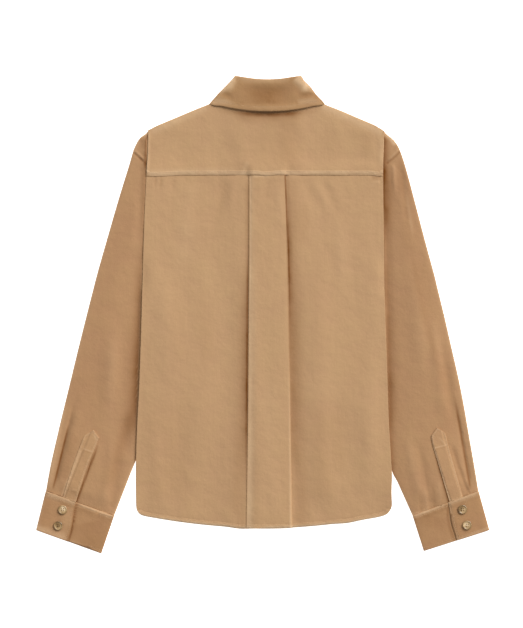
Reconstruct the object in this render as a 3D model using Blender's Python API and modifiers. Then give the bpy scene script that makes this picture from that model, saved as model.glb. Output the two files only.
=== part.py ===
"""Corduroy overshirt, laid face down with its back up and its sleeves folded down beside the body.

Each piece that is cut and sewn is one object.  +Z is up from the surface that the shirt lies on,
+Y runs from the hem to the collar, and +X is the wearer's right.  Tables and sizes are in
millimetres; cloth() and button() turn them into metres.
"""
import math
from collections import namedtuple

import bmesh
import bpy
from mathutils import Matrix, Vector

MM = 0.001

# Cloth and seams
CLOTH = 1.0              # one ply of fine-wale corduroy
FACED = 1.4              # faced and interlined pieces: collar, cuffs, bands, plackets
SEAM = 0.3               # space between two pieces at a seam
SLEEVE_AIR = 1.0         # air left inside a flattened sleeve
BODY_AIR = 0.8           # air between the front and the back
BACK_UNDERLAP = 4.0      # cloth of a sleeve head that lies under the armhole edge of the back
FRONT_UNDERLAP = 9.5     # and of the front
FRONT_SET_BACK = 5.0     # the front's armhole edge is this much further in than the back's

# Body
CENTRE = 5.0             # x of the centre front
YOKE_SEAM = 217.0        # y of the yoke's lower edge, at the back
YOKE_LAP = 7.0           # how far the yoke covers the back panel
WING_DROP = 38.0         # how far the yoke reaches down the front
WING_CORNER = 65.0       # the wing's corner at the neck, out from the collar's centre
ARMPIT = 48.0            # y of the armpit
HEM = -331.6             # y of the hem at the centre back
HEM_RISE = 21.0          # how much higher the hem is at the side seams
HEM_CORNER = {-1: 7.0, 1: 12.0}    # radius of the hem's corners
FRONT_SHORTER = 5.0      # the fronts end this much higher than the back
BODY_CROWN = 2.0         # how much the back stands up between pleat and side seam

# Box pleat at the centre back
PLEAT_TOP = (-20.1, 34.4)        # x of its two edges at the yoke
PLEAT_HEM = (-23.8, 44.9)        # x of its two edges at the hem
PLEAT_CURVE = (2.0, 0.7)         # how late each edge bends outwards
PLEAT_DEPTH = 17.0               # how far the cloth is folded in under each edge
PLEAT_OPEN = 2.2                 # spacing of its layers at the hem

# Front bands and buttons
BAND = 32.0
BUTTON_RADIUS = 7.2
BUTTON_HEIGHT = 2.2
BUTTON_SPACING = 88.0
FRONT_BUTTONS = 6
TOP_BUTTON = 206.0               # y of the highest button on the bands
NECK_BUTTON = 283.0              # y of the button on the collar's stand

# Collar
COLLAR_X = 7.8                   # x of the collar's centre
COLLAR_LIFT = 1.8                # the fronts lie this much higher where the collar is under them
STAND_FRONT_Z = 2.5
STAND_BACK_Z = 4.3
LEAF_FRONT_Z = 0.8
LEAF_BACK_Z = 6.1
LEAF_LIFT = 1.6                  # how much more the leaf's outer edge stands off the yoke
STAND_TURN = 0.9                 # how far the stand bulges where it turns to the front
LEAF_TURN = 2.7                  # how far the leaf bulges round it
STAND_TOP = 2.6                  # the stand ends this much before the collar's fold

# Cuffs
CUFF_AIR = 0.6
CUFF_LAP = {-1: (0.44, 0.49), 1: (0.465, 0.5)}    # where the lap ends, as a share across: top, foot
CUFF_UNDERLAP = 0.18             # how far the other end reaches under it, as a share
CUFF_BUTTON = 0.292              # where the buttons are, as a share of the width
CUFF_BUTTON_ROWS = (0.27, 0.695)  # and of the height

Side = namedtuple("Side", "y left right")
SIDES = (                        # the body's outline, from the hem's corners to the shoulder tips
    Side(-312.0, -196.0, 200.6),
    Side(-288.0, -196.6, 200.5),
    Side(-232.0, -196.9, 200.3),
    Side(-176.0, -195.2, 196.2),
    Side(-120.0, -192.0, 194.4),
    Side(-64.0, -189.9, 192.8),
    Side(-8.0, -188.2, 190.7),
    Side(48.0, -186.8, 189.2),
    Side(141.0, -184.1, 188.2),
    Side(217.0, -180.6, 186.9),
    Side(253.0, -178.4, 187.9),
    Side(289.0, -177.5, 189.2),
)

Shoulder = namedtuple("Shoulder", "out left right")
SHOULDERS = (                    # y of the shoulder line, by the distance out from the collar's centre
    Shoulder(70.0, 335.6, 335.4),
    Shoulder(85.0, 329.3, 328.4),
    Shoulder(92.0, 326.8, 325.4),
    Shoulder(97.0, 325.0, 323.4),
    Shoulder(112.0, 319.3, 318.3),
    Shoulder(148.0, 304.6, 303.3),
    Shoulder(187.0, 288.2, 286.4),
)

Rib = namedtuple("Rib", "name outer_x outer_y inner_x inner_y")
SLEEVES = {                      # lines across each sleeve, from its outer fold to its armhole or seam
    -1: (
        Rib("tip", 183.2, 284.6, 180.2, 281.0),
        Rib("head", 190.2, 275.0, 179.9, 267.0),
        Rib("head fold", 197.1, 264.0, 180.0, 253.0),
        Rib("head fold", 202.0, 251.5, 180.6, 237.0),
        Rib("yoke seam", 206.3, 234.5, 181.6, 219.0),
        Rib("upper arm", 221.4, 188.0, 183.7, 176.0),
        Rib("upper arm", 240.0, 122.7, 186.0, 108.0),
        Rib("over armpit", 249.5, 90.0, 187.3, 76.0),
        Rib("armpit", 256.8, 64.0, 188.1, 48.0),
        Rib("below armpit", 264.2, 35.0, 172.0, 12.0),
        Rib("upper elbow", 274.1, -4.0, 153.0, -34.0),
        Rib("elbow", 286.4, -53.0, 146.0, -90.0),
        Rib("lower elbow", 298.3, -103.0, 158.0, -142.0),
        Rib("forearm", 310.4, -152.0, 180.0, -189.0),
        Rib("leaves body", 319.8, -192.0, 198.5, -229.0),
        Rib("placket", 328.7, -230.0, 213.5, -268.0),
        Rib("cuff seam", 336.7, -275.3, 231.4, -313.8),
    ),
    1: (
        Rib("tip", 194.0, 284.6, 191.2, 281.0),
        Rib("head", 199.8, 275.4, 190.6, 267.0),
        Rib("head fold", 208.8, 265.5, 189.8, 253.0),
        Rib("head fold", 215.4, 251.5, 189.0, 237.0),
        Rib("yoke seam", 221.3, 234.5, 188.0, 219.0),
        Rib("upper arm", 233.7, 188.0, 188.2, 176.0),
        Rib("upper arm", 250.5, 122.7, 189.4, 108.0),
        Rib("over armpit", 259.4, 90.0, 189.9, 76.0),
        Rib("armpit", 266.7, 64.0, 190.5, 48.0),
        Rib("below armpit", 273.5, 35.0, 176.0, 12.0),
        Rib("upper elbow", 283.2, -4.0, 158.0, -34.0),
        Rib("elbow", 294.1, -53.0, 150.0, -90.0),
        Rib("lower elbow", 306.0, -103.0, 162.0, -142.0),
        Rib("forearm", 315.0, -152.0, 184.0, -190.0),
        Rib("leaves body", 321.7, -192.0, 197.5, -232.0),
        Rib("placket", 328.5, -230.0, 214.5, -270.0),
        Rib("cuff seam", 335.7, -275.3, 234.0, -313.4),
    ),
}
ARMPIT_RIB = 8
CUFF_RIB = 16
SLEEVE_ROWS = (0, 1, 1.5, 2, 2.5, 3, 4, 5, 6, 7, 8, 8.5, 9, 9.5, 10, 11, 12, 13, 13.5, 14, 15,
               15.5, 16)
SLEEVE_CROWN = 2.2               # how much a sleeve stands up clear of the body
TUCK_RIBS = (13.0, 15.5)         # the tuck above a cuff grows between these two ribs
TUCK_OUT = 15.0                  # its edge, from the sleeve's outer fold
TUCK_STEP = 1.2                  # its height

Cuff = namedtuple("Cuff", "outer_x outer_y inner_x inner_y")
CUFF_FOOT = {-1: Cuff(351.4, -334.7, 250.9, -370.9), 1: Cuff(352.1, -334.7, 251.1, -367.2)}

Placket = namedtuple("Placket", "tip_rib tip_share foot_share width point")
PLACKETS = {
    -1: Placket(13.28, 0.402, 0.345, 21.5, 10.0),
    1: Placket(13.24, 0.352, 0.335, 22.0, 10.0),
}

Station = namedtuple("Station", "name seam_x seam_y fold_x fold_y edge_x edge_y")
COLLAR_BACK = (                  # from the centre back to the side, x out from the collar's centre
    Station("centre back", 0.0, 330.9, 0.0, 365.2, 0.0, 315.0),
    Station("back", 22.0, 331.6, 20.0, 366.2, 27.0, 315.8),
    Station("back", 44.0, 333.6, 36.0, 368.8, 56.0, 320.0),
    Station("near side", 59.0, 335.7, 44.4, 370.0, 78.0, 325.2),
    Station("side", 66.8, 336.8, 48.6, 369.0, 85.6, 330.2),
)
COLLAR_FRONT = (                 # from the shoulder round to the centre front
    Station("shoulder", 69.0, 322.0, 48.0, 349.0, 90.0, 305.0),
    Station("front", 65.0, 303.0, 42.0, 330.0, 86.0, 280.0),
    Station("front", 50.0, 284.0, 32.0, 309.0, 75.0, 256.0),
    Station("front", 26.0, 272.0, 18.0, 299.0, 62.0, 240.0),
    Station("centre front", 4.0, 268.0, 6.0, 297.0, 46.0, 229.0),
)
STAND_END = Station("stand end", -15.0, 268.0, -13.0, 295.0, -15.0, 268.0)

BODY_LEVELS = (-292.0, -262.0, -225.0, -175.0, -125.0, -75.0, -25.0, 15.0, 40.0, 52.0, 70.0,
               100.0, 140.0, 180.0)

COLOURS = {                      # linear colour and roughness of each finish
    "body_corduroy": ((0.51, 0.32, 0.17), 0.9),
    "sleeve_corduroy": ((0.44, 0.26, 0.13), 0.9),
    "collar_corduroy": ((0.42, 0.25, 0.13), 0.9),
    "horn": ((0.30, 0.19, 0.09), 0.35),
}


# ---------------------------------------------------------------- curves

def step(value, start, end):
    """0 before start, 1 after end, and smooth in between; start may be the larger."""
    share = min(1.0, max(0.0, (value - start) / (end - start)))
    return share * share * (3.0 - 2.0 * share)


def blend(first, second, share):
    return first + (second - first) * share


def curve(keys, values, at):
    """A smooth curve through a table's values; keys rise."""
    at = min(keys[-1], max(keys[0], at))
    low = max(i for i in range(len(keys) - 1) if keys[i] <= at)
    span = keys[low + 1] - keys[low]
    share = (at - keys[low]) / span
    start = slope(keys, values, low) * span
    end = slope(keys, values, low + 1) * span
    rise = values[low + 1] - values[low]
    bend = start + end - 2.0 * rise
    return values[low] + share * (start + share * ((3.0 * rise - 2.0 * start - end) + share * bend))


def slope(keys, values, at):
    before, after = max(at - 1, 0), min(at + 1, len(keys) - 1)
    return (values[after] - values[before]) / (keys[after] - keys[before])


def read(rows, key, column, at):
    """One column of a table, at any value of another column."""
    pairs = sorted((getattr(row, key), getattr(row, column)) for row in rows)
    return curve([pair[0] for pair in pairs], [pair[1] for pair in pairs], at)


def side_of(x):
    return -1 if x < CENTRE else 1


# ---------------------------------------------------------------- outline of the body

def side_x(side, y):
    return read(SIDES, "y", "left" if side < 0 else "right", y)


def shoulder_y(x):
    return read(SHOULDERS, "out", "left" if x < COLLAR_X else "right", abs(x - COLLAR_X))


def hem_y(x, shorter=0.0):
    """The hem's curve: lowest at the centre, with a small round corner at each side seam."""
    edge = side_x(side_of(x), HEM)
    share = min(1.0, abs(x - CENTRE) / abs(edge - CENTRE))
    radius = HEM_CORNER[side_of(x)]
    to_edge = min(radius, abs(edge - x))
    corner = radius - math.sqrt(radius ** 2 - (radius - to_edge) ** 2)
    return HEM + shorter + HEM_RISE * share ** 1.9 + corner


def back_neck_y(x):
    return read(COLLAR_BACK, "seam_x", "seam_y", abs(x - COLLAR_X))


def front_neck_y(x):
    return read(COLLAR_FRONT, "seam_x", "seam_y", abs(x - COLLAR_X)) - 1.2


def sleeve_edge(side, y):
    """How far from the middle a sleeve's inner edge lies, where it is under the body."""
    return read(SLEEVES[side][ARMPIT_RIB:], "inner_y", "inner_x", y)


def pleat_edge(side, y):
    share = min(1.0, max(0.0, (YOKE_SEAM - y) / (YOKE_SEAM - HEM)))
    return blend(PLEAT_TOP[side > 0], PLEAT_HEM[side > 0], share ** PLEAT_CURVE[side > 0])


def pleat_spacing(y):
    return blend(CLOTH + SEAM, PLEAT_OPEN, step(y, YOKE_SEAM - 10.0, HEM))


# ---------------------------------------------------------------- heights of the layers

SLEEVE_HEIGHT = 2 * CLOTH + SLEEVE_AIR


def band_z(side):
    """Middle height of a front band: the right one lies on the buttons, the left one on it."""
    right = BUTTON_HEIGHT + SEAM + FACED / 2
    return right if side > 0 else right + FACED + SEAM


def near_band(x):
    return 1.0 - step(abs(x - CENTRE), BAND / 2 + 3.0, BAND / 2 + 55.0)


def front_z(side, x, y):
    """Middle height of a front panel, over a sleeve, the collar or the buttons."""
    from_sleeve = sleeve_edge(side, min(y, ARMPIT)) - side * x
    over_sleeve = (1.0 - step(from_sleeve, 18.0, 52.0)) * step(y, 100.0, 70.0)
    inward = abs(side_x(side, y) - x)
    over_armhole = (1.0 - step(inward, 20.0, 46.0)) * step(y, 48.0, 70.0)
    over_collar = step(y, 190.0, 222.0) * (1.0 - step(abs(x - COLLAR_X), 104.0, 140.0))
    return CLOTH / 2 + max(
        (SLEEVE_HEIGHT + SEAM) * over_sleeve,
        (CLOTH + SEAM) * over_armhole,
        COLLAR_LIFT * over_collar,
        (band_z(side) - CLOTH / 2) * near_band(x),
    )


def back_z(x, y):
    """Middle height of the back panel, above all that it lies on."""
    side = side_of(x)
    inward = abs(side_x(side, y) - x)
    air = blend(SEAM, BODY_AIR, step(inward, 6.0, 30.0))
    below = front_z(side, x, y) + CLOTH / 2 + air if abs(x - CENTRE) > BAND / 2 else 0.0
    armhole = (SLEEVE_HEIGHT + SEAM) * (1.0 - step(inward, 18.0, 90.0)) * step(y, 48.0, 70.0)
    bands = band_z(-1) + FACED / 2 + BODY_AIR
    bands *= (1.0 - step(abs(x - CENTRE), 34.0, 100.0)) * (1.0 - step(y, 308.0, 323.0))
    stand = (STAND_FRONT_Z + FACED / 2 + BODY_AIR / 2) * step(y, 262.0, 284.0)
    half = abs(side_x(side, y) - pleat_edge(side, y))
    crown = BODY_CROWN * math.sin(math.pi * min(1.0, inward / half)) ** 2
    return CLOTH / 2 + max(below, armhole, bands, stand) + crown * (1.0 - step(y, 150.0, 205.0))


def yoke_z(x, y):
    """The yoke lies on the back panel's upper edge and on the three layers of its pleat."""
    beside = max(PLEAT_TOP[0] - 5.0 - x, x - PLEAT_TOP[1] - 5.0)
    lap = 1.0 - step(y, YOKE_SEAM + YOKE_LAP + 1.0, YOKE_SEAM + 30.0)
    pleat = (1.0 - step(beside, 0.0, 34.0)) * (1.0 - step(y, YOKE_SEAM + YOKE_LAP + 1.0, YOKE_SEAM + 48.0))
    return back_z(x, y) + (CLOTH + 2.0 * SEAM) * lap + 2.0 * (CLOTH + SEAM) * pleat


# ---------------------------------------------------------------- making objects

def material(name):
    found = bpy.data.materials.get(name)
    if found:
        return found
    colour, roughness = COLOURS[name]
    made = bpy.data.materials.new(name)
    made.use_nodes = True
    shader = made.node_tree.nodes["Principled BSDF"]
    shader.inputs["Base Color"].default_value = (*colour, 1.0)
    shader.inputs["Roughness"].default_value = roughness
    shader.inputs["Metallic"].default_value = 0.0
    return made


def new_object(name, bm, finish):
    mesh = bpy.data.meshes.new(name)
    bm.to_mesh(mesh)
    bm.free()
    mesh.materials.append(material(finish))
    obj = bpy.data.objects.new(name, mesh)
    bpy.data.collections["overshirt"].objects.link(obj)
    return obj


def cloth(name, columns, rows, place, thickness, finish, keep=None):
    """Cloth as a wall: a grid whose points place(column, row) gives, thickened to both sides.

    keep(column, row) says which of the grid's faces are cloth.  Points that meet are joined.
    """
    bm = bmesh.new()
    bmesh.ops.create_grid(bm, x_segments=columns - 1, y_segments=rows - 1, size=1.0)
    low = min(vertex.co.x for vertex in bm.verts)
    if keep:
        lost = []
        for face in bm.faces:
            centre = face.calc_center_median()
            column = int((centre.x / -low + 1.0) / 2.0 * (columns - 1))
            row = int((centre.y / -low + 1.0) / 2.0 * (rows - 1))
            if not keep(column, row):
                lost.append(face)
        bmesh.ops.delete(bm, geom=lost, context="FACES")
    for vertex in bm.verts:
        column = round((vertex.co.x / -low + 1.0) / 2.0 * (columns - 1))
        row = round((vertex.co.y / -low + 1.0) / 2.0 * (rows - 1))
        vertex.co = Vector(place(column, row)) * MM
    bmesh.ops.remove_doubles(bm, verts=bm.verts, dist=0.000001)
    obj = new_object(name, bm, finish)
    wall = obj.modifiers.new("cloth", "SOLIDIFY")
    wall.thickness = thickness * MM
    wall.offset = 0.0
    wall.use_even_offset = True
    wall.use_quality_normals = True
    return obj


# ---------------------------------------------------------------- body

def back():
    """The back in one piece, folded into a box pleat: three layers at each of its edges."""
    left = (0.0, 0.035, 0.1, 0.2, 0.34, 0.52, 0.7, 0.88)
    folds = (                       # along x from a pleat edge, as shares of its depth; level
        (0.0, 0.0, 0.0), (1.0, 0.0, 0.0), (1.0, 0.5, 0.5), (1.0, 0.0, 1.0),
        (0.5, 0.0, 1.0), (0.0, 0.0, 1.0), (0.0, -0.5, 1.5), (0.0, 0.0, 2.0),
    )
    across = [("panel", -1, share) for share in left]
    across += [("fold", -1, fold) for fold in folds]
    across += [("middle", 0, share) for share in (0.25, 0.5, 0.75)]
    across += [("fold", 1, fold) for fold in reversed(folds)]
    across += [("panel", 1, share) for share in reversed(left)]

    def spot(kind, side, value, y):
        spacing = pleat_spacing(y)
        if kind == "panel":
            x = blend(side_x(side, y), pleat_edge(side, y), value)
            return x, 0.0
        if kind == "middle":
            return blend(pleat_edge(-1, y), pleat_edge(1, y), value), 2.0 * spacing
        depth, bulge, level = value
        return pleat_edge(side, y) - side * (depth * PLEAT_DEPTH + bulge * spacing), level * spacing

    def place(column, row):
        kind, side, value = across[column]
        top = YOKE_SEAM + YOKE_LAP
        y = top if row > len(BODY_LEVELS) else BODY_LEVELS[max(0, row - 1)]
        if row == 0:
            y = hem_y(spot(kind, side, value, HEM)[0])
        x, up = spot(kind, side, value, y)
        return x, y, back_z(x, y) + up

    cloth("back", len(across), len(BODY_LEVELS) + 2, place, CLOTH, "body_corduroy")


def front_edge_x(side, y):
    """x of a front's side seam and, above the armpit, of its armhole."""
    return side_x(side, y) - side * FRONT_SET_BACK * step(y, 40.0, 52.0)


def front(side, name):
    """One front panel, from its band to its side seam and armhole."""
    shares = (0.0, 0.08, 0.17, 0.27, 0.38, 0.49, 0.6, 0.7, 0.79, 0.87, 0.94, 1.0)
    tops = (0.3, 0.65, 1.0)
    neck_columns = 4
    last = len(BODY_LEVELS)
    start = CENTRE + side * (BAND / 2 + SEAM)
    corner = COLLAR_X + side * WING_CORNER

    def top(column):
        """The upper edge: the neck as far as the wing's corner, then the wing's seam."""
        if column < neck_columns:
            x = blend(start, corner, column / neck_columns)
            return x, front_neck_y(x)
        share = (column - neck_columns) / (len(shares) - 1.0 - neck_columns)
        x = blend(corner, front_edge_x(side, 250.0), share)
        return x, shoulder_y(x) - WING_DROP - 3.0 * SEAM

    def place(column, row):
        if row == 0:
            x = blend(start, front_edge_x(side, HEM), shares[column])
            return x, hem_y(x, FRONT_SHORTER), front_z(side, x, HEM)
        y, share = BODY_LEVELS[min(row, last) - 1], shares[column]
        if row > last:
            top_x, top_y = top(column)
            up = tops[row - last - 1]
            y = blend(y, top_y, up)
            top_share = (top_x - start) / (front_edge_x(side, 250.0) - start)
            share = blend(share, top_share, up)
        x = blend(start, front_edge_x(side, y), share)
        return x, y, front_z(side, x, y)

    rows = 1 + last + len(tops)
    cloth(name, len(shares), rows, place, CLOTH, "body_corduroy")


def band(side, name):
    """The folded band along a front's edge."""
    def place(column, row):
        x = CENTRE + (column / 2.0 - 0.5) * BAND
        low = HEM + FRONT_SHORTER
        return x, blend(low, front_neck_y(CENTRE), row / 12.0), band_z(side)

    cloth(name, 3, 13, place, FACED, "body_corduroy")


def yoke():
    """The yoke: one piece across the back, over both shoulders and down the fronts as two wings."""
    wing = (0.0, 0.04, 0.11, 0.22, 0.36, 0.52, 0.68, 0.84, 1.0)
    neck = (-46.0, -27.0, -8.0, 8.0, 24.0, 43.0, 62.0)
    up = (0.0, 0.06, 0.15, 0.28, 0.46, 0.62, 0.765, 0.9, 1.0)
    down = (0.0, 0.12, 0.4, 0.7, 1.0)
    columns = 2 * len(wing) + len(neck)
    folded = len(up) + 1
    neck_point = 72.5

    def across(column):
        """Side, and share of the way from the armhole to the neck; or x, between the wings."""
        if column < len(wing):
            return -1, wing[column], None
        if column >= columns - len(wing):
            return 1, wing[columns - 1 - column], None
        return 0, 1.0, neck[column - len(wing)]

    def place(column, row):
        side, share, x = across(column)
        if side == 0:
            y = blend(YOKE_SEAM, back_neck_y(x) - 1.0, up[min(row, len(up) - 1)])
            return x, y, yoke_z(x, y)
        tip = blend(side_x(side, 285.0), COLLAR_X + side * neck_point, share)
        top = shoulder_y(tip)
        high = yoke_z(tip, top - 1.0)
        low = front_z(side, tip, top - 4.0)
        turn = (high - low) / 2.0
        if row < len(up):
            y = blend(YOKE_SEAM, top - turn, up[row])
            inner = COLLAR_X + side * neck_point
            x = blend(side_x(side, y), inner, share)
            return x, y, yoke_z(x, y)
        if row == len(up):
            set_back = side * FRONT_SET_BACK * (1.0 - share)
            return tip - set_back / 2.0, top, (high + low) / 2.0
        foot_x = blend(front_edge_x(side, 250.0), COLLAR_X + side * WING_CORNER, share)
        y = blend(top - turn, shoulder_y(foot_x) - WING_DROP, down[row - folded])
        inner = COLLAR_X + side * blend(neck_point, WING_CORNER, down[row - folded])
        x = blend(front_edge_x(side, y), inner, share)
        return x, y, front_z(side, x, y)

    def keep(column, row):
        between = len(wing) - 1 <= column < columns - len(wing)
        return not between or row < len(up) - 1

    cloth("yoke", columns, folded + len(down), place, CLOTH, "body_corduroy", keep)


# ---------------------------------------------------------------- collar

def stand_front_z(side, x):
    return blend(STAND_FRONT_Z, band_z(side), near_band(x))


def collar_columns(end):
    """Stations round the collar, from one end at the front, across the back, to the other.

    Each is (station, side, turn), where turn is 0 at the front, 1 at the back, 0.5 between.
    """
    front_half = [(station, 0.0) for station in end + tuple(reversed(COLLAR_FRONT))]
    side = COLLAR_BACK[-1]
    half = front_half + [(side, 0.0), (side, 0.5), (side, 1.0)]
    half += [(station, 1.0) for station in reversed(COLLAR_BACK[1:-1])]
    right = [(station, 1, turn) for station, turn in half]
    left = [(station, -1, turn) for station, turn in reversed(half)]
    return right + [(COLLAR_BACK[0], 1, 1.0)] + left


def along(first, second, from_second):
    """The point at a distance from the second of two points, on the line to the first."""
    line = Vector(first) - Vector(second)
    return Vector(second) + line.normalized() * from_second


def turned(first, second, side, turn, bulge):
    """How far the collar bulges sideways where it turns from the front to the back."""
    line = (Vector(second) - Vector(first)).normalized()
    outward = Vector((line.y, -line.x))
    if outward.x < 0.0:
        outward = -outward
    return outward * (bulge if turn == 0.5 else 0.0)


def stand():
    """The collar's stand, from the neck seam to just short of the collar's fold."""
    columns = collar_columns((STAND_END,))
    rows = (0.0, 0.5, 1.0)

    def place(column, row):
        station, side, turn = columns[column]
        seam, fold = (station.seam_x, station.seam_y), (station.fold_x, station.fold_y)
        top = along(seam, fold, STAND_TOP)
        spot = Vector(seam).lerp(top, rows[row]) + turned(seam, fold, side, turn, STAND_TURN)
        low = stand_front_z(side, COLLAR_X + side * station.seam_x)
        return COLLAR_X + side * spot.x, spot.y, blend(low, STAND_BACK_Z, turn)

    cloth("collar_stand", len(columns), len(rows), place, FACED, "collar_corduroy")


def leaf():
    """The collar's leaf: joined to the stand's top, rolled over it and down to its outer edge."""
    columns = collar_columns(())
    rolled = ((2.2, 0.0), (0.9, 0.0), (0.0, 0.5), (0.9, 1.0))   # from the fold; stand to leaf
    shares = (0.2, 0.45, 0.72, 1.0)

    def place(column, row):
        station, side, turn = columns[column]
        seam, fold = (station.seam_x, station.seam_y), (station.fold_x, station.fold_y)
        edge = (station.edge_x, station.edge_y)
        roll = rolled[row] if row < len(rolled) else (0.0, 1.0)
        if row < len(rolled):
            spot = along(seam if row < 2 else edge, fold, roll[0])
        else:
            spot = Vector(fold).lerp(Vector(edge), shares[row - len(rolled)])
        bulge = blend(STAND_TURN, LEAF_TURN, roll[1])
        spot = spot + turned(fold, edge if row > 1 else seam, side, turn, bulge)
        lift = LEAF_LIFT * step(shares[row - len(rolled)], 0.2, 1.0) if row >= len(rolled) else 0.0
        low = stand_front_z(side, COLLAR_X + side * station.seam_x)
        near = blend(low, STAND_BACK_Z, turn)
        far = blend(LEAF_FRONT_Z, LEAF_BACK_Z + lift * (station.name != "side"), turn)
        return COLLAR_X + side * spot.x, spot.y, blend(near, far, roll[1])

    cloth("collar_leaf", len(columns), len(rolled) + len(shares), place, FACED, "collar_corduroy")


# ---------------------------------------------------------------- sleeves

def rib(side, at):
    """The outer and inner ends of a line across a sleeve, at any position between the ribs."""
    rows = SLEEVES[side]
    keys = list(range(len(rows)))
    ends = [curve(keys, [getattr(row, name) for row in rows], at) for name in Rib._fields[1:]]
    return Vector((side * ends[0], ends[1])), Vector((side * ends[2], ends[3]))


def sleeve_top_z(side, at, spot, from_outer):
    """Middle height of a sleeve's upper layer."""
    outer, inner = rib(side, at)
    clear = (spot - inner).length
    if spot.y > HEM:
        clear = min(clear, side * spot.x - side * side_x(side, spot.y))
    crown = SLEEVE_CROWN * step(clear, 8.0, 50.0) * step(from_outer, 0.0, 40.0)
    tuck = TUCK_STEP * step(at, *TUCK_RIBS) * step(from_outer, TUCK_OUT - 0.7, TUCK_OUT + 0.7)
    return CLOTH / 2 + CLOTH + SLEEVE_AIR + crown + tuck


def sleeve(side, name):
    """A flattened sleeve: open at the armhole, and closed in a ring from the armpit down."""
    low, high = CLOTH / 2, CLOTH / 2 + CLOTH + SLEEVE_AIR
    upper = (0.0, 0.16, 0.32, 0.48, 0.62, 0.75)             # shares between the two folds
    lower = (1.0, 0.65, 0.3, 0.0)
    columns = 1 + len(upper) + 2 + 2 + len(lower) + 1
    outer_fold = len(upper) + 4

    def place(column, row):
        at = SLEEVE_ROWS[row]
        outer, inner = rib(side, at)
        reach = BACK_UNDERLAP * step(at, 0.0, 1.5) * (1.0 - step(at, 8.0, 9.0))
        if column > outer_fold:
            reach += (FRONT_UNDERLAP - BACK_UNDERLAP) * step(at, 0.0, 2.0) * (1.0 - step(at, 7.0, 8.0))
        inner = inner - Vector((side * reach, 0.0))
        width = (outer - inner).length
        turn = min((high - low) / 2.0, 0.2 * width)
        flat = width - 2.0 * turn
        tuck = max(0.84, 1.0 - (TUCK_OUT - turn) / flat)
        shares = upper + (tuck - 0.7 / 110.0, tuck + 0.7 / 110.0, 1.0)
        edge = column in (0, columns - 1)
        if column == outer_fold:
            return outer.x, outer.y, (low + high) / 2.0
        if edge:
            height = (low + high) / 2.0 if at >= ARMPIT_RIB else (high if column == 0 else low)
            return inner.x, inner.y, height
        share = shares[column - 1] if column < outer_fold else lower[column - outer_fold - 1]
        distance = turn + share * flat
        spot = inner.lerp(outer, distance / width)
        if column > outer_fold:
            return spot.x, spot.y, low
        if column == 1:
            return spot.x, spot.y, high
        return spot.x, spot.y, sleeve_top_z(side, at, spot, width - distance)

    cloth(name, columns, len(SLEEVE_ROWS), place, CLOTH, "sleeve_corduroy")


def placket(side, name):
    """The pointed placket that lies on the sleeve above its cuff."""
    table = PLACKETS[side]
    rows = 9

    def place(column, row):
        share = row / (rows - 1.0)
        at = blend(CUFF_RIB - 0.015, table.tip_rib, share)
        outer, inner = rib(side, at)
        width = (inner - outer).length
        middle = blend(table.foot_share, table.tip_share, share) * width
        distance = middle + (column / 2.0 - 0.5) * table.width
        spot = outer + (inner - outer).normalized() * distance
        if row == rows - 1 and column != 1:
            lower, _ = rib(side, at + 0.1)
            spot = spot + (lower - outer).normalized() * table.point
        height = sleeve_top_z(side, at, spot, distance) + CLOTH / 2 + SEAM + FACED / 2
        return spot.x, spot.y, height + 0.15

    cloth(name, 3, rows, place, FACED, "sleeve_corduroy")


# ---------------------------------------------------------------- cuffs

def cuff_spot(side, share, down):
    """A point of a cuff: share across it from its outer fold, down from the sleeve to the foot."""
    outer, inner = rib(side, CUFF_RIB)
    foot = CUFF_FOOT[side]
    outer_foot = Vector((side * foot.outer_x, foot.outer_y))
    inner_foot = Vector((side * foot.inner_x, foot.inner_y))
    top, low = outer.lerp(inner, share), outer_foot.lerp(inner_foot, share)
    gap = (low - top).normalized() * SEAM * 1.5
    return (top + gap).lerp(low, down)


CUFF_LOW = FACED / 2
CUFF_UNDER = CUFF_LOW + FACED + CUFF_AIR
CUFF_OVER = CUFF_UNDER + FACED + SEAM


def cuff(side, name):
    """A buttoned cuff: a flattened ring whose outer end lies on its inner end."""
    rows = (0.0, 0.33, 0.66, 1.0)
    turn = 0.012
    ring = (                        # share across, height; a negative share is from the lap's end
        (-CUFF_UNDERLAP, CUFF_UNDER), (-0.03, CUFF_UNDER), (0.68, CUFF_UNDER), (0.86, CUFF_UNDER),
        (1.0 - turn, CUFF_UNDER), (1.0, (CUFF_UNDER + CUFF_LOW) / 2), (1.0 - turn, CUFF_LOW),
        (0.66, CUFF_LOW), (0.33, CUFF_LOW), (turn, CUFF_LOW), (0.0, CUFF_LOW + 1.4),
        (0.0, CUFF_OVER - 1.4), (turn, CUFF_OVER), (0.18, CUFF_OVER), (-1.0, CUFF_OVER),
    )

    def place(column, row):
        share, height = ring[column]
        lap = blend(*CUFF_LAP[side], rows[row])
        if share == -1.0:
            share = lap
        elif share < 0.0:
            share = lap + share
        spot = cuff_spot(side, share, rows[row])
        return spot.x, spot.y, height

    cloth(name, len(ring), len(rows), place, FACED, "sleeve_corduroy")


# ---------------------------------------------------------------- buttons

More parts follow.
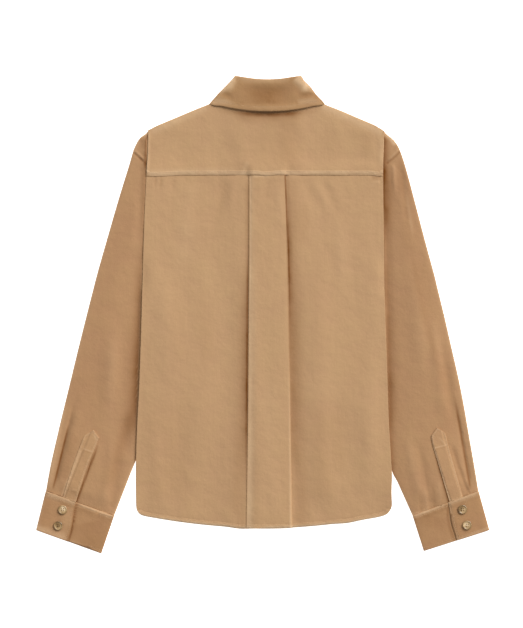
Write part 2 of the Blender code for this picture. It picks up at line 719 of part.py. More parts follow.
def button(name, x, y, low, facing_up=True):
    """A turned button with a rounded rim and a dished middle."""
    radius, height = BUTTON_RADIUS, BUTTON_HEIGHT
    profile = (                     # radius, height
        (0.0, 0.0), (radius * 0.62, 0.0), (radius * 0.94, height * 0.32), (radius, height * 0.6),
        (radius * 0.95, height * 0.9), (radius * 0.84, height), (radius * 0.7, height * 0.86),
        (radius * 0.6, height * 0.66), (0.0, height * 0.62),
    )
    bm = bmesh.new()
    points = [bm.verts.new((r * MM, 0.0, z * MM)) for r, z in profile]
    edges = [bm.edges.new(pair) for pair in zip(points, points[1:])]
    bmesh.ops.spin(bm, geom=points + edges, axis=(0.0, 0.0, 1.0), cent=(0.0, 0.0, 0.0),
                   steps=16, angle=math.tau)
    bmesh.ops.remove_doubles(bm, verts=bm.verts, dist=0.000001)
    bmesh.ops.recalc_face_normals(bm, faces=bm.faces)
    if not facing_up:
        bmesh.ops.rotate(bm, verts=bm.verts, cent=(0.0, 0.0, height / 2 * MM),
                         matrix=Matrix.Rotation(math.pi, 3, "X"))
    bmesh.ops.translate(bm, verts=bm.verts, vec=(x * MM, y * MM, low * MM))
    new_object(name, bm, "horn")


def cuff_buttons(side, name):
    for index, down in enumerate(CUFF_BUTTON_ROWS):
        spot = cuff_spot(side, CUFF_BUTTON, down)
        button(f"{name}_{index + 1}", spot.x, spot.y, CUFF_OVER + FACED / 2 + SEAM)


# ---------------------------------------------------------------- the shirt

for old in list(bpy.data.objects):
    bpy.data.objects.remove(old)
bpy.context.scene.collection.children.link(bpy.data.collections.new("overshirt"))

back()
yoke()
front(-1, "front_left")
front(1, "front_right")
band(-1, "band_left")
band(1, "band_right")
stand()
leaf()
for side, word in ((-1, "left"), (1, "right")):
    sleeve(side, f"sleeve_{word}")
    placket(side, f"placket_{word}")
    cuff(side, f"cuff_{word}")
    cuff_buttons(side, f"cuff_button_{word}")
for index in range(FRONT_BUTTONS):
    button(f"front_button_{index + 1}", CENTRE, TOP_BUTTON - index * BUTTON_SPACING, 0.0, False)
button("neck_button", COLLAR_X, NECK_BUTTON, 0.0, False)
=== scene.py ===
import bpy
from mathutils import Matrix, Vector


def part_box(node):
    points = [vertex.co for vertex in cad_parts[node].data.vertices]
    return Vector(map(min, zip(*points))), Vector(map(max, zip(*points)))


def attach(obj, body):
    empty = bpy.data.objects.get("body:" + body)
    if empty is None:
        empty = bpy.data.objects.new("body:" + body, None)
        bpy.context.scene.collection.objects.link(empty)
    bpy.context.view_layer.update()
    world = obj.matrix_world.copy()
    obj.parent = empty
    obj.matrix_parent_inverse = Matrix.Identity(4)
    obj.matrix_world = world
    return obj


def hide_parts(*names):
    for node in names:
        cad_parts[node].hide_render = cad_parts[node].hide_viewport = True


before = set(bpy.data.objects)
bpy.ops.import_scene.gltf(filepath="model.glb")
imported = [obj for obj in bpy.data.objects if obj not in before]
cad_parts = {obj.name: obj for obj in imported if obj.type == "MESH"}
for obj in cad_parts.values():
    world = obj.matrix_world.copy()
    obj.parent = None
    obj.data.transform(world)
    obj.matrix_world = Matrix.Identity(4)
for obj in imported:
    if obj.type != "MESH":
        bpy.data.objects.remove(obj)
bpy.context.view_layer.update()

import math

import bmesh
import bpy
import numpy as np
from mathutils import Matrix, Vector
from mathutils.bvhtree import BVHTree

mm = 0.001


# Selecting and shaping

def selectOnly(piece):
    bpy.ops.object.select_all(action="DESELECT")
    bpy.context.view_layer.objects.active = piece
    piece.select_set(True)


def addPiece(name, mesh):
    piece = bpy.data.objects.new(name, mesh)
    bpy.context.scene.collection.objects.link(piece)
    selectOnly(piece)
    return piece


def discard(piece):
    mesh = piece.data
    bpy.data.objects.remove(piece)
    bpy.data.meshes.remove(mesh)


def pointsOf(piece):
    flat = np.zeros(len(piece.data.vertices) * 3)
    piece.data.vertices.foreach_get("co", flat)
    return flat.reshape(-1, 3)


def setPoints(piece, points):
    piece.data.vertices.foreach_set("co", points.reshape(-1))
    piece.data.update()


def setValue(piece, name, values):
    layer = piece.data.attributes.get(name) or piece.data.attributes.new(name, "FLOAT", "POINT")
    layer.data.foreach_set("value", np.asarray(values, dtype=np.float32))


def valueOf(piece, name):
    values = np.zeros(len(piece.data.vertices), dtype=np.float32)
    piece.data.attributes[name].data.foreach_get("value", values)
    return values


rimValue = 0.999              # points of a cut edge keep more than this of their mark of 1


def onRim(piece):
    return valueOf(piece, "rim") > rimValue


def faceOutwards(piece):
    selectOnly(piece)
    bpy.ops.object.mode_set(mode="EDIT")
    bpy.ops.mesh.select_all(action="SELECT")
    bpy.ops.mesh.normals_make_consistent(inside=False)
    bpy.ops.object.mode_set(mode="OBJECT")


def ramp(value, low, high):
    share = np.clip((value - low) / (high - low), 0.0, 1.0)
    return share * share * (3.0 - 2.0 * share)


def bell(value, middle, reach):
    return np.exp(-((value - middle) / reach) ** 2)


def leftOf(line):
    # the way to the left of a line, seen from its start
    (x1, y1), (x2, y2) = line
    return np.array((y1 - y2, x2 - x1)) / math.hypot(x2 - x1, y2 - y1)


def besideLine(line, x, y):
    # how far a point lies to the left of a line
    (x1, y1), (wayX, wayY) = line[0], leftOf(line)
    return (x - x1) * wayX + (y - y1) * wayY


def anyEdge(place, normal):
    return True


smoothing = {
    "crease": math.radians(60),          # faces that meet more sharply stay crisp
    "rimWidth": 2.2,                     # the widest a cut edge can be, by the cloth's wall
    "weld": 0.01, "shading": math.radians(50),
}


def rimFaces(form, wall):
    # the narrow faces round a cloth wall have a sharp edge on each side
    sharp = {edge for edge in form.edges
             if len(edge.link_faces) == 2 and edge.calc_face_angle() > smoothing["crease"]}
    rim = []
    for face in form.faces:
        edges = [loop.edge for loop in face.loops]
        for first in (0, 1):
            if len(edges) != 4 or edges[first] not in sharp or edges[first + 2] not in sharp:
                continue
            lengths = [edges[corner - first].calc_length() for corner in (1, 3)]
            if max(lengths) < smoothing["rimWidth"] * wall:
                rim.append(face)
                break
    return rim, sharp


def refined(cloth):
    # a smooth copy of a plain solid; its cut edges stay crisp, and so do the points that
    # corner(x, y) picks
    piece = addPiece("cloth_" + cloth["node"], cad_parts[cloth["node"]].data.copy())
    piece.data.materials.clear()
    bpy.ops.object.mode_set(mode="EDIT")
    bpy.ops.mesh.select_mode(type="EDGE")
    bpy.ops.mesh.select_all(action="SELECT")
    bpy.ops.mesh.remove_doubles(threshold=smoothing["weld"] * mm)
    bpy.ops.mesh.tris_convert_to_quads(face_threshold=smoothing["crease"],
                                       shape_threshold=math.pi)
    bpy.ops.mesh.select_all(action="DESELECT")
    form = bmesh.from_edit_mesh(piece.data)
    rimLayer = form.verts.layers.float.new("rim")
    rim, sharp = rimFaces(form, cloth["wall"] * mm)
    for face in rim:
        for vertex in face.verts:
            vertex[rimLayer] = 1.0
        for edge in face.edges:
            if edge in sharp:
                edge.select = True
    bmesh.update_edit_mesh(piece.data)
    bpy.ops.transform.edge_crease(value=1.0)
    if "corner" in cloth:
        bpy.ops.mesh.select_mode(type="VERT")
        bpy.ops.mesh.select_all(action="DESELECT")
        form = bmesh.from_edit_mesh(piece.data)
        for vertex in form.verts:
            vertex.select = cloth["corner"](vertex.co.x / mm, vertex.co.y / mm)
        bmesh.update_edit_mesh(piece.data)
        bpy.ops.transform.vert_crease(value=1.0)
    bpy.ops.object.mode_set(mode="OBJECT")
    smoother = piece.modifiers.new("smoother", "SUBSURF")
    smoother.levels = smoother.render_levels = cloth["levels"]
    bpy.ops.object.modifier_apply(modifier="smoother")
    return piece


def pairOf(value):
    return value if isinstance(value, tuple) else (value, value)


def fold(start, end, width, height, bow=0.0, fade=0.3, tone=0.0):
    # a soft ridge, or a trough where height is negative; a pair of widths is for its left and
    # right, fade is the share of its length over which both ends die away, or a pair of shares,
    # bow is how far its middle swings to the left, and tone is painted light along it, or painted
    # shade where it is negative
    return {"line": (start, end), "widths": pairOf(width), "height": height, "bow": bow,
            "fades": pairOf(fade), "tone": tone}


def shade(start, end, width, tone, bow=0.0, fade=0.3):
    # a band of painted shade, or of painted light where tone is above zero, with no change of
    # height
    return fold(start, end, width, 0.0, bow, fade, tone)


def foldSum(x, y, folds, what):
    # what the folds add up to at each point: their height or their tone
    total = np.zeros(len(x))
    for crease in folds:
        (x1, y1), (x2, y2) = crease["line"]
        squared = (x2 - x1) ** 2 + (y2 - y1) ** 2
        share = ((x - x1) * (x2 - x1) + (y - y1) * (y2 - y1)) / squared
        swing = crease["bow"] * 4.0 * np.clip(share * (1.0 - share), 0.0, 0.25)
        aside = besideLine(crease["line"], x, y) - swing
        strength = crease[what] * bell(aside, 0.0, 0.5 * np.where(aside > 0.0, *crease["widths"]))
        begin, finish = crease["fades"]
        if begin:
            strength *= ramp(share, 0.0, begin)
        if finish:
            strength *= 1.0 - ramp(share, 1.0 - finish, 1.0)
        total += strength
    return total


def pull(centre, radius, shift):
    # a soft sideways tug on the points round a place
    return {"centre": centre, "radius": radius, "shift": shift}


def pulled(points, pulls):
    for tug in pulls:
        middleX, middleY = tug["centre"]
        reach = np.hypot(points[:, 0] / mm - middleX, points[:, 1] / mm - middleY)
        share = 1.0 - ramp(reach, 0.0, tug["radius"])
        points[:, :2] += np.outer(share, np.array(tug["shift"]) * mm)
    return points


farAway = 200.0               # a distance beyond any welt


def distanceToEdge(piece, keep):
    # distance of every point from the cut edges that keep(place, normal) picks, in millimetres
    points, rim, faces = pointsOf(piece), onRim(piece), []
    for polygon in piece.data.polygons:
        own = list(polygon.vertices)
        if rim[own].all() and keep(Vector(points[own].mean(axis=0) / mm), polygon.normal):
            faces.append(own)
    tree = BVHTree.FromPolygons([Vector(point) for point in points], faces)
    near = [tree.find_nearest(Vector(point), farAway * mm) for point in points]
    return np.array([farAway if hit[3] is None else hit[3] / mm for hit in near])


# Stitching: one stitch, copied along a line on the cloth and joined

thread = {
    "length": 2.7, "spacing": 3.3, "thickness": 0.42, "height": 0.3, "sink": 0.06,
    "layer": 0.9,             # a stitch keeps within this height of its own edge
    "look": 1.0,              # the length of a seam that shows its direction
    "facing": 0.3,            # the least that cloth faces up under a stitch
    "twist": 1600.0, "twistLight": 0.12, "twistDepth": 0.05,
}
above = 40.0                  # a height over all of the shirt

# how far each piece's stitches run from its edge
fromEdge = {"back": 5.8, "yoke": 5.4, "collar": 7.0, "cuff": 5.0, "placket": 2.4}


def stitchForm():
    bpy.ops.object.select_all(action="DESELECT")
    bpy.ops.mesh.primitive_uv_sphere_add(segments=6, ring_count=4, radius=0.5)
    form = bpy.context.object
    points = pointsOf(form)[:, [2, 1, 0]]          # its poles point along the seam
    faces = [list(reversed(polygon.vertices)) for polygon in form.data.polygons]
    discard(form)
    return points * np.array([thread["length"], thread["thickness"], thread["height"]]) * mm, faces


stitchPoints, stitchFaces = stitchForm()


def evenly(line, spacing):
    # points at even steps along a line, and the direction there
    line = np.asarray(line, dtype=float)
    steps = np.linalg.norm(np.diff(line, axis=0), axis=1)
    reach = np.concatenate([[0.0], np.cumsum(steps)])
    if reach[-1] < spacing:
        return np.zeros((0, line.shape[1])), np.zeros((0, line.shape[1]))

    def spotsAt(distance):
        return np.stack([np.interp(distance, reach, column) for column in line.T], axis=1)

    at = np.arange(0.5 * spacing, reach[-1], spacing)
    step = 0.5 * thread["look"]
    return spotsAt(at), spotsAt(at + step) - spotsAt(at - step)


def edgeLines(piece, keep, inset):
    # the upper cut edge as chains of points, moved in from the edge
    form = bmesh.new()
    form.from_mesh(piece.data)
    rim = form.verts.layers.float["rim"]
    isRim = {face for face in form.faces if all(vertex[rim] > rimValue for vertex in face.verts)}
    inward, links = {}, {}
    for edge in form.edges:
        faces = edge.link_faces
        if len(faces) != 2 or (faces[0] in isRim) == (faces[1] in isRim):
            continue
        panel, cut = (faces[1], faces[0]) if faces[0] in isRim else faces
        middle = (edge.verts[0].co + edge.verts[1].co) / 2
        if panel.normal.z < thread["facing"] or not keep(middle / mm, cut.normal):
            continue
        run = (edge.verts[1].co - edge.verts[0].co).normalized()
        side = panel.calc_center_median() - middle
        side = (side - run * side.dot(run)).normalized()
        for vertex, other in (edge.verts, reversed(edge.verts)):
            inward[vertex] = inward.get(vertex, Vector()) + side
            links.setdefault(vertex, []).append(other)
    lines, seen = [], set()
    starts = [vertex for vertex in links if len(links[vertex]) == 1] + list(links)
    for vertex in starts:
        line = []
        while vertex is not None and vertex not in seen:
            seen.add(vertex)
            line.append(vertex.co / mm + inward[vertex].normalized() * inset)
            vertex = next((other for other in links[vertex] if other not in seen), None)
        if len(line) > 2:
            lines.append([tuple(point) for point in line])
    form.free()
    return lines


def sew(name, piece, inset, keep):
    # a row of stitches beside the edges that keep picks, each laid on the cloth
    tree = BVHTree.FromPolygons([vertex.co.copy() for vertex in piece.data.vertices],
                                [list(polygon.vertices) for polygon in piece.data.polygons])
    points, faces = [], []
    for line in edgeLines(piece, keep, inset):
        for spot, way in zip(*evenly(line, thread["spacing"])):
            start = Vector((spot[0], spot[1], above)) * mm
            hit, normal, _, _ = tree.ray_cast(start, Vector((0, 0, -1)))
            if hit is None or abs(hit.z / mm - spot[2]) > thread["layer"]:
                continue
            side = normal.cross(Vector((way[0], way[1], 0.0)).normalized()).normalized()
            turn = Matrix((side.cross(normal), side, normal)).transposed()
            place = hit + normal * (thread["height"] / 2 - thread["sink"]) * mm
            first = len(points) * len(stitchPoints)
            points.append(stitchPoints @ np.array(turn).T + np.array(place))
            faces += [[first + index for index in face] for face in stitchFaces]
    mesh = bpy.data.meshes.new("stitches_" + name)
    mesh.from_pydata(np.concatenate(points).tolist(), [], faces)
    row = addPiece("stitches_" + name, mesh)
    faceOutwards(row)
    bpy.ops.object.shade_smooth()
    mesh.materials.append(threadPile)
    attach(row, "root")
    return row


# Materials

class Wire:
    # a socket that can stand in an expression
    def __init__(self, finish, socket):
        self.finish, self.socket = finish, socket

    def join(self, operation, first, second=None):
        settings = {"operation": operation}
        values = {0: first} if second is None else {0: first, 1: second}
        return Wire(self.finish, self.finish.node("ShaderNodeMath", settings, values).outputs[0])

    def __add__(self, other):
        return self.join("ADD", self, other)

    def __radd__(self, other):
        return self.join("ADD", other, self)

    def __sub__(self, other):
        return self.join("SUBTRACT", self, other)

    def __rsub__(self, other):
        return self.join("SUBTRACT", other, self)

    def __mul__(self, other):
        return self.join("MULTIPLY", self, other)

    def __rmul__(self, other):
        return self.join("MULTIPLY", other, self)

    def __neg__(self):
        return self.join("MULTIPLY", self, -1.0)

    def sine(self):
        return self.join("SINE", self)

    def exp(self):
        return self.join("EXPONENT", self)


noiseSpread = 2.6             # brings a noise to about -1 to 1
stretched = (1.0, 3.0, 0.6)   # scale, detail and roughness of a noise that its place stretches


class Finish:
    # the nodes of one material
    def __init__(self, name, **constants):
        self.material = bpy.data.materials.new(name)
        self.material.use_nodes = True
        self.tree = self.material.node_tree
        self.shader = self.tree.nodes["Principled BSDF"]
        for socket, value in constants.items():
            self.shader.inputs[socket.replace("_", " ")].default_value = value

    def feed(self, socket, value):
        value = value.socket if isinstance(value, Wire) else value
        if isinstance(value, bpy.types.NodeSocket):
            self.tree.links.new(value, socket)
        elif isinstance(value, tuple) and len(value) < len(socket.default_value):
            socket.default_value = (*value, 1.0)                 # a colour without its alpha
        else:
            socket.default_value = value

    def node(self, kind, settings=None, sockets=None):
        made = self.tree.nodes.new(kind)
        for name, value in (settings or {}).items():
            if name == "stops":
                while len(made.color_ramp.elements) < len(value):
                    made.color_ramp.elements.new(0.5)
                for stop, (place, colour) in zip(made.color_ramp.elements, value):
                    stop.position, stop.color = place, (*colour, 1.0)
            else:
                setattr(made, name, value)
        for name, value in (sockets or {}).items():
            self.feed(made.inputs[name], value)
        return made

    def place(self, turn=0.0, scale=(1.0, 1.0, 1.0)):
        source = self.node("ShaderNodeTexCoord").outputs["Object"]
        sockets = {"Vector": source, "Rotation": (0.0, 0.0, turn), "Scale": scale}
        return self.node("ShaderNodeMapping", None, sockets).outputs["Vector"]

    def noise(self, where, scale, detail=2.0, roughness=0.5):
        sockets = {"Vector": where, "Scale": scale, "Detail": detail, "Roughness": roughness}
        made = self.node("ShaderNodeTexNoise", None, sockets)
        return (Wire(self, made.outputs[0]) - 0.5) * noiseSpread

    def value(self, name):
        return Wire(self, self.node("ShaderNodeAttribute", {"attribute_name": name}).outputs["Fac"])

    def window(self, value, low, high):
        sockets = {"Value": value, "From Min": low, "From Max": high}
        settings = {"interpolation_type": "SMOOTHSTEP"}
        return Wire(self, self.node("ShaderNodeMapRange", settings, sockets).outputs["Result"])

    def mix(self, factor, first, second):
        # sockets 6, 7 and 2 are the node's own for colours
        settings = {"data_type": "RGBA", "clamp_factor": True}
        sockets = {0: factor, 6: first, 7: second}
        return self.node("ShaderNodeMix", settings, sockets).outputs[2]

    def scaled(self, colour, factor):
        sockets = {0: colour, "Scale": factor}
        made = self.node("ShaderNodeVectorMath", {"operation": "SCALE"}, sockets)
        return made.outputs["Vector"]

    def show(self, socket, value):
        self.feed(self.shader.inputs[socket], value)

    def bump(self, height):
        # height in millimetres
        sockets = {"Height": height, "Distance": mm, "Strength": 1.0}
        self.show("Normal", self.node("ShaderNodeBump", None, sockets).outputs["Normal"])


corduroyPile = {
    "rib": 1.25, "ribDepth": 0.07,               # from one wale to the next, and how deep
    "waver": 1.5,                                # how unevenly the wales run
    # unevenness by scale, detail and roughness; the streaks are long beside the wales
    "patches": (11.0, 2.0), "blotches": (48.0, 3.0, 0.55), "fuzz": (900.0, 2.0, 0.6),
    "dimples": (150.0, 1.0), "streaks": (170.0, 9.0, 60.0),
    # what patches, blotches, streaks and fuzz add to each
    "light": (0.026, 0.030, 0.012, 0.030), "hue": (0.22, 0.3, 0.0, 0.0),
    "height": (0.0, 0.5, 0.05, 0.05),
    "weltEnd": (0.78, 1.12), "weltMiddle": 0.8,  # as shares of the welt's width
    "pucker": 0.25, "stitchGroove": 0.2, "seamReach": 2.2,       # along a sewn edge
    "weltMottle": 0.5, "paintedMottle": 0.3,        # how blotchy the welt's painted highlight and the painted light and shade are
    "shadow": 1.4, "shine": 1.2,                 # how far painted shade and painted light take it to its shadow and shine colours
}


def corduroy(name, warm, green, grain=0.0, welt=6.0, weltLight=0.05, weltLift=0.35,
             weltStart=0.0, stitch=None):
    # warm and green are the pile's two tones; grain is the wales' angle in degrees; welt is the
    # width of the sewn edge, weltLight a painted highlight along it, and stitch how far its
    # stitches lie from the edge
    pile = corduroyPile
    finish = Finish(name, Roughness=0.92, Specular_IOR_Level=0.2, Sheen_Weight=0.18,
                    Sheen_Roughness=0.45, Sheen_Tint=(1.0, 0.76, 0.54, 1.0))
    angle = math.radians(grain)
    place = finish.place(angle)
    patches = finish.noise(place, *pile["patches"])
    blotches = finish.noise(place, *pile["blotches"])
    streaks = finish.noise(finish.place(angle, pile["streaks"]), *stretched)
    fuzz = finish.noise(place, *pile["fuzz"])

    def uneven(start, amounts):
        parts = zip(amounts, (patches, blotches, streaks, fuzz))
        return sum((amount * part for amount, part in parts if amount), start)

    edge = finish.value("edge")
    onWelt = 1.0 - finish.window(edge, *(share * welt for share in pile["weltEnd"]))
    if weltStart:
        onWelt = onWelt * finish.window(edge, 0.0, weltStart)
    # painted highlight along the welt, plus the painted light and shade of the tone attribute; each
    # mixes the pile towards the shine or the shadow colour
    paintedLightAndShade = weltLight * onWelt * (1.0 + pile["weltMottle"] * blotches)
    paintedLightAndShade = paintedLightAndShade + finish.value("tone") * (1.0 + pile["paintedMottle"] * blotches)
    colour = finish.mix(uneven(0.5, pile["hue"]), warm, green)
    colour = finish.scaled(colour, uneven(1.0, pile["light"]))
    colour = finish.mix(-paintedLightAndShade * pile["shadow"], colour, tones["shadow"])
    finish.show("Base Color", finish.mix(paintedLightAndShade * pile["shine"], colour, tones["shine"]))

    across = Wire(finish, finish.node("ShaderNodeSeparateXYZ", None, {0: place}).outputs["X"])
    ribs = (across * (math.tau / (pile["rib"] * mm)) + pile["waver"] * blotches).sine()
    fromSeam = (edge - (stitch or pile["weltMiddle"] * welt)) * (1.0 / pile["seamReach"])
    nearSeam = (-fromSeam * fromSeam).exp()
    height = uneven(ribs * (0.5 * pile["ribDepth"]), pile["height"]) + weltLift * onWelt
    height = height + finish.noise(place, *pile["dimples"]) * pile["pucker"] * nearSeam
    if stitch:
        height = height - pile["stitchGroove"] * nearSeam
    finish.bump(height)
    return finish.material


def threadFinish(name, colour):
    finish = Finish(name, Roughness=0.7, Specular_IOR_Level=0.3, Sheen_Weight=0.2)
    twist = finish.noise(finish.place(), thread["twist"], 1.0)
    finish.show("Base Color", finish.scaled(colour, 1.0 + thread["twistLight"] * twist))
    finish.bump(twist * thread["twistDepth"])
    return finish.material


hornLook = {
    "stops": [(0.0, (0.060, 0.028, 0.008)), (0.28, (0.15, 0.080, 0.026)),
              (0.52, (0.31, 0.19, 0.075)), (0.74, (0.56, 0.38, 0.19)), (1.0, (0.86, 0.66, 0.42))],
    "cloud": (170.0, 3.0, 0.55), "cloudTone": 0.24,
    "vein": (320.0, 90.0, 200.0), "veinTurn": 0.6, "veinTone": 0.1,
    "roughness": (0.40, 0.06), "coat": (0.15, 0.05),       # each with what the cloud adds to it
    "relief": 0.02,
}


def hornFinish(name):
    finish, look = Finish(name, Specular_IOR_Level=0.5, Coat_Roughness=0.12), hornLook
    cloud = finish.noise(finish.place(), *look["cloud"])
    vein = finish.noise(finish.place(look["veinTurn"], look["vein"]), *stretched)
    tone = finish.value("tone") + look["cloudTone"] * cloud + look["veinTone"] * vein
    colour = finish.node("ShaderNodeValToRGB", {"stops": look["stops"]}, {"Fac": tone})
    finish.show("Base Color", colour.outputs["Color"])
    for socket, key in (("Roughness", "roughness"), ("Coat Weight", "coat")):
        base, more = look[key]
        finish.show(socket, base + more * cloud)
    finish.bump(look["relief"] * (cloud + vein))
    return finish.material


tones = {                    # the pile's warmer and greener tone on each group of pieces
    "body": ((0.520, 0.304, 0.164), (0.505, 0.318, 0.158)),
    # the sleeves, plackets, cuffs and collar are painted darker than the body, a stand-in for how
    # the nap's sheen falls on them
    "sleeve": ((0.455, 0.245, 0.127), (0.440, 0.258, 0.122)),
    "placket": ((0.482, 0.268, 0.140), (0.468, 0.280, 0.134)),
    "cuff": ((0.425, 0.222, 0.112), (0.412, 0.236, 0.106)),
    "collar": ((0.400, 0.215, 0.103), (0.390, 0.228, 0.098)),
    "thread": (0.56, 0.36, 0.20),
    # the colours that painted shade and painted light mix the pile towards
    "shadow": (0.16, 0.049, 0.004),
    "shine": (0.95, 0.685, 0.425),
}
sides = ((-1, "left"), (1, "right"))
sleeveGrain = 9.2             # the angle between a sleeve's wales and the body's, in degrees


def pilePair(part, **welt):
    return {side: corduroy(f"corduroy_{part}_{word}", *tones[part], -side * sleeveGrain, **welt)
            for side, word in sides}


bodyPile = corduroy("corduroy_body", *tones["body"], welt=6.5, weltLight=0.065,
                    stitch=fromEdge["back"])
yokePile = corduroy("corduroy_yoke", *tones["body"], welt=6.9, weltLight=0.22, weltLift=0.4,
                    weltStart=3.4)
hiddenPile = corduroy("corduroy_front", *tones["body"], weltLift=0.0)
collarPile = corduroy("corduroy_collar", *tones["collar"], welt=10.0, weltLight=0.02,
                      weltLift=0.2, stitch=fromEdge["collar"])
sleevePile = pilePair("sleeve", weltLift=0.0, weltLight=0.0)
placketPile = pilePair("placket", welt=2.6, weltLift=0.1)
cuffPile = pilePair("cuff", welt=5.5, weltLight=0.1, stitch=fromEdge["cuff"])
threadPile = threadFinish("thread_tan", tones["thread"])
print("materials made")


# Cloth pieces

# In each piece's dictionary, upper is the height over which its top layer begins, the only one
# that the folds then shape; tint adds to the pile's tone, rimTone adds painted light on cut edges,
# and raise adds to the height; sewnEdge picks the cut edges that get a welt. The tone is painted
# light where it is above zero and painted shade where it is below.

def makeCloth(cloth, material):
    piece = refined(cloth)
    points = pointsOf(piece)
    x, y, z = (points / mm).T
    folds = cloth.get("folds", ())
    upper = ramp(z, *cloth["upper"]) if "upper" in cloth else 1.0
    lift = foldSum(x, y, folds, "height") * upper
    # painted light and painted shade from the folds' tones
    tone = foldSum(x, y, folds, "tone") * upper
    if "rimTone" in cloth:
        tone += cloth["rimTone"](y) * onRim(piece)
    if "tint" in cloth:
        tone += cloth["tint"](x, y, z)
    if "raise" in cloth:
        lift += cloth["raise"](x, y, z)
    points[:, 2] += lift * mm
    setPoints(piece, pulled(points, cloth.get("pulls", ())))
    setValue(piece, "tone", tone)
    if "edge" in cloth:
        setValue(piece, "edge", cloth["edge"](x, y))
    else:
        setValue(piece, "edge", distanceToEdge(piece, cloth.get("sewnEdge", anyEdge)))
    selectOnly(piece)
    bpy.ops.object.shade_smooth_by_angle(angle=smoothing["shading"])
    piece.data.materials.append(material)
    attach(piece, "root")
    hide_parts(cloth["node"])
    return piece


pleatForm = {
    "top": 217.0, "length": 548.6,
    "edge": -21.2, "swing": 3.7,                 # its left edge, and how far that bows to the hem
    "under": 7.45,                               # height of the cloth that its left edge lies on
    "down": (200.0, -260.0),                     # over this stretch of y it presses more
    "press": (0.55, 0.25), "reach": (3.2, 5.8),  # at the yoke, and what is added to the hem
    # painted light on the pleat beside its left edge
    "light": 0.04,                               # and more over these stretches of y:
    "moreLight": ((0.16, 160.0, -60.0), (0.05, -120.0, -220.0)),
    "lightStart": (-0.2, 1.2), "lightReach": (2.5, 8.0),         # from its left edge
}


def pleatEdge(y):
    share = (pleatForm["top"] - y) / pleatForm["length"]
    return pleatForm["edge"] - pleatForm["swing"] * share ** 2


def pressPleat(x, y, z):
    # the pleat's left edge lies flatter, and more so towards the hem
    down = ramp(y, *pleatForm["down"])
    (press, morePress), (reach, moreReach) = pleatForm["press"], pleatForm["reach"]
    share = (press + morePress * down) * bell(x, pleatEdge(y) + 1.0, reach + moreReach * down)
    return -share * np.maximum(z - pleatForm["under"], 0.0)


def lightEdge(x, y):
    # painted light on the pleat beside its left edge, offsetting the painted shade that spills onto
    # it
    aside = x - pleatEdge(y)
    light = pleatForm["light"] + sum(more * ramp(y, start, end)
                                     for more, start, end in pleatForm["moreLight"])
    return light * ramp(aside, *pleatForm["lightStart"]) * bell(aside, *pleatForm["lightReach"])


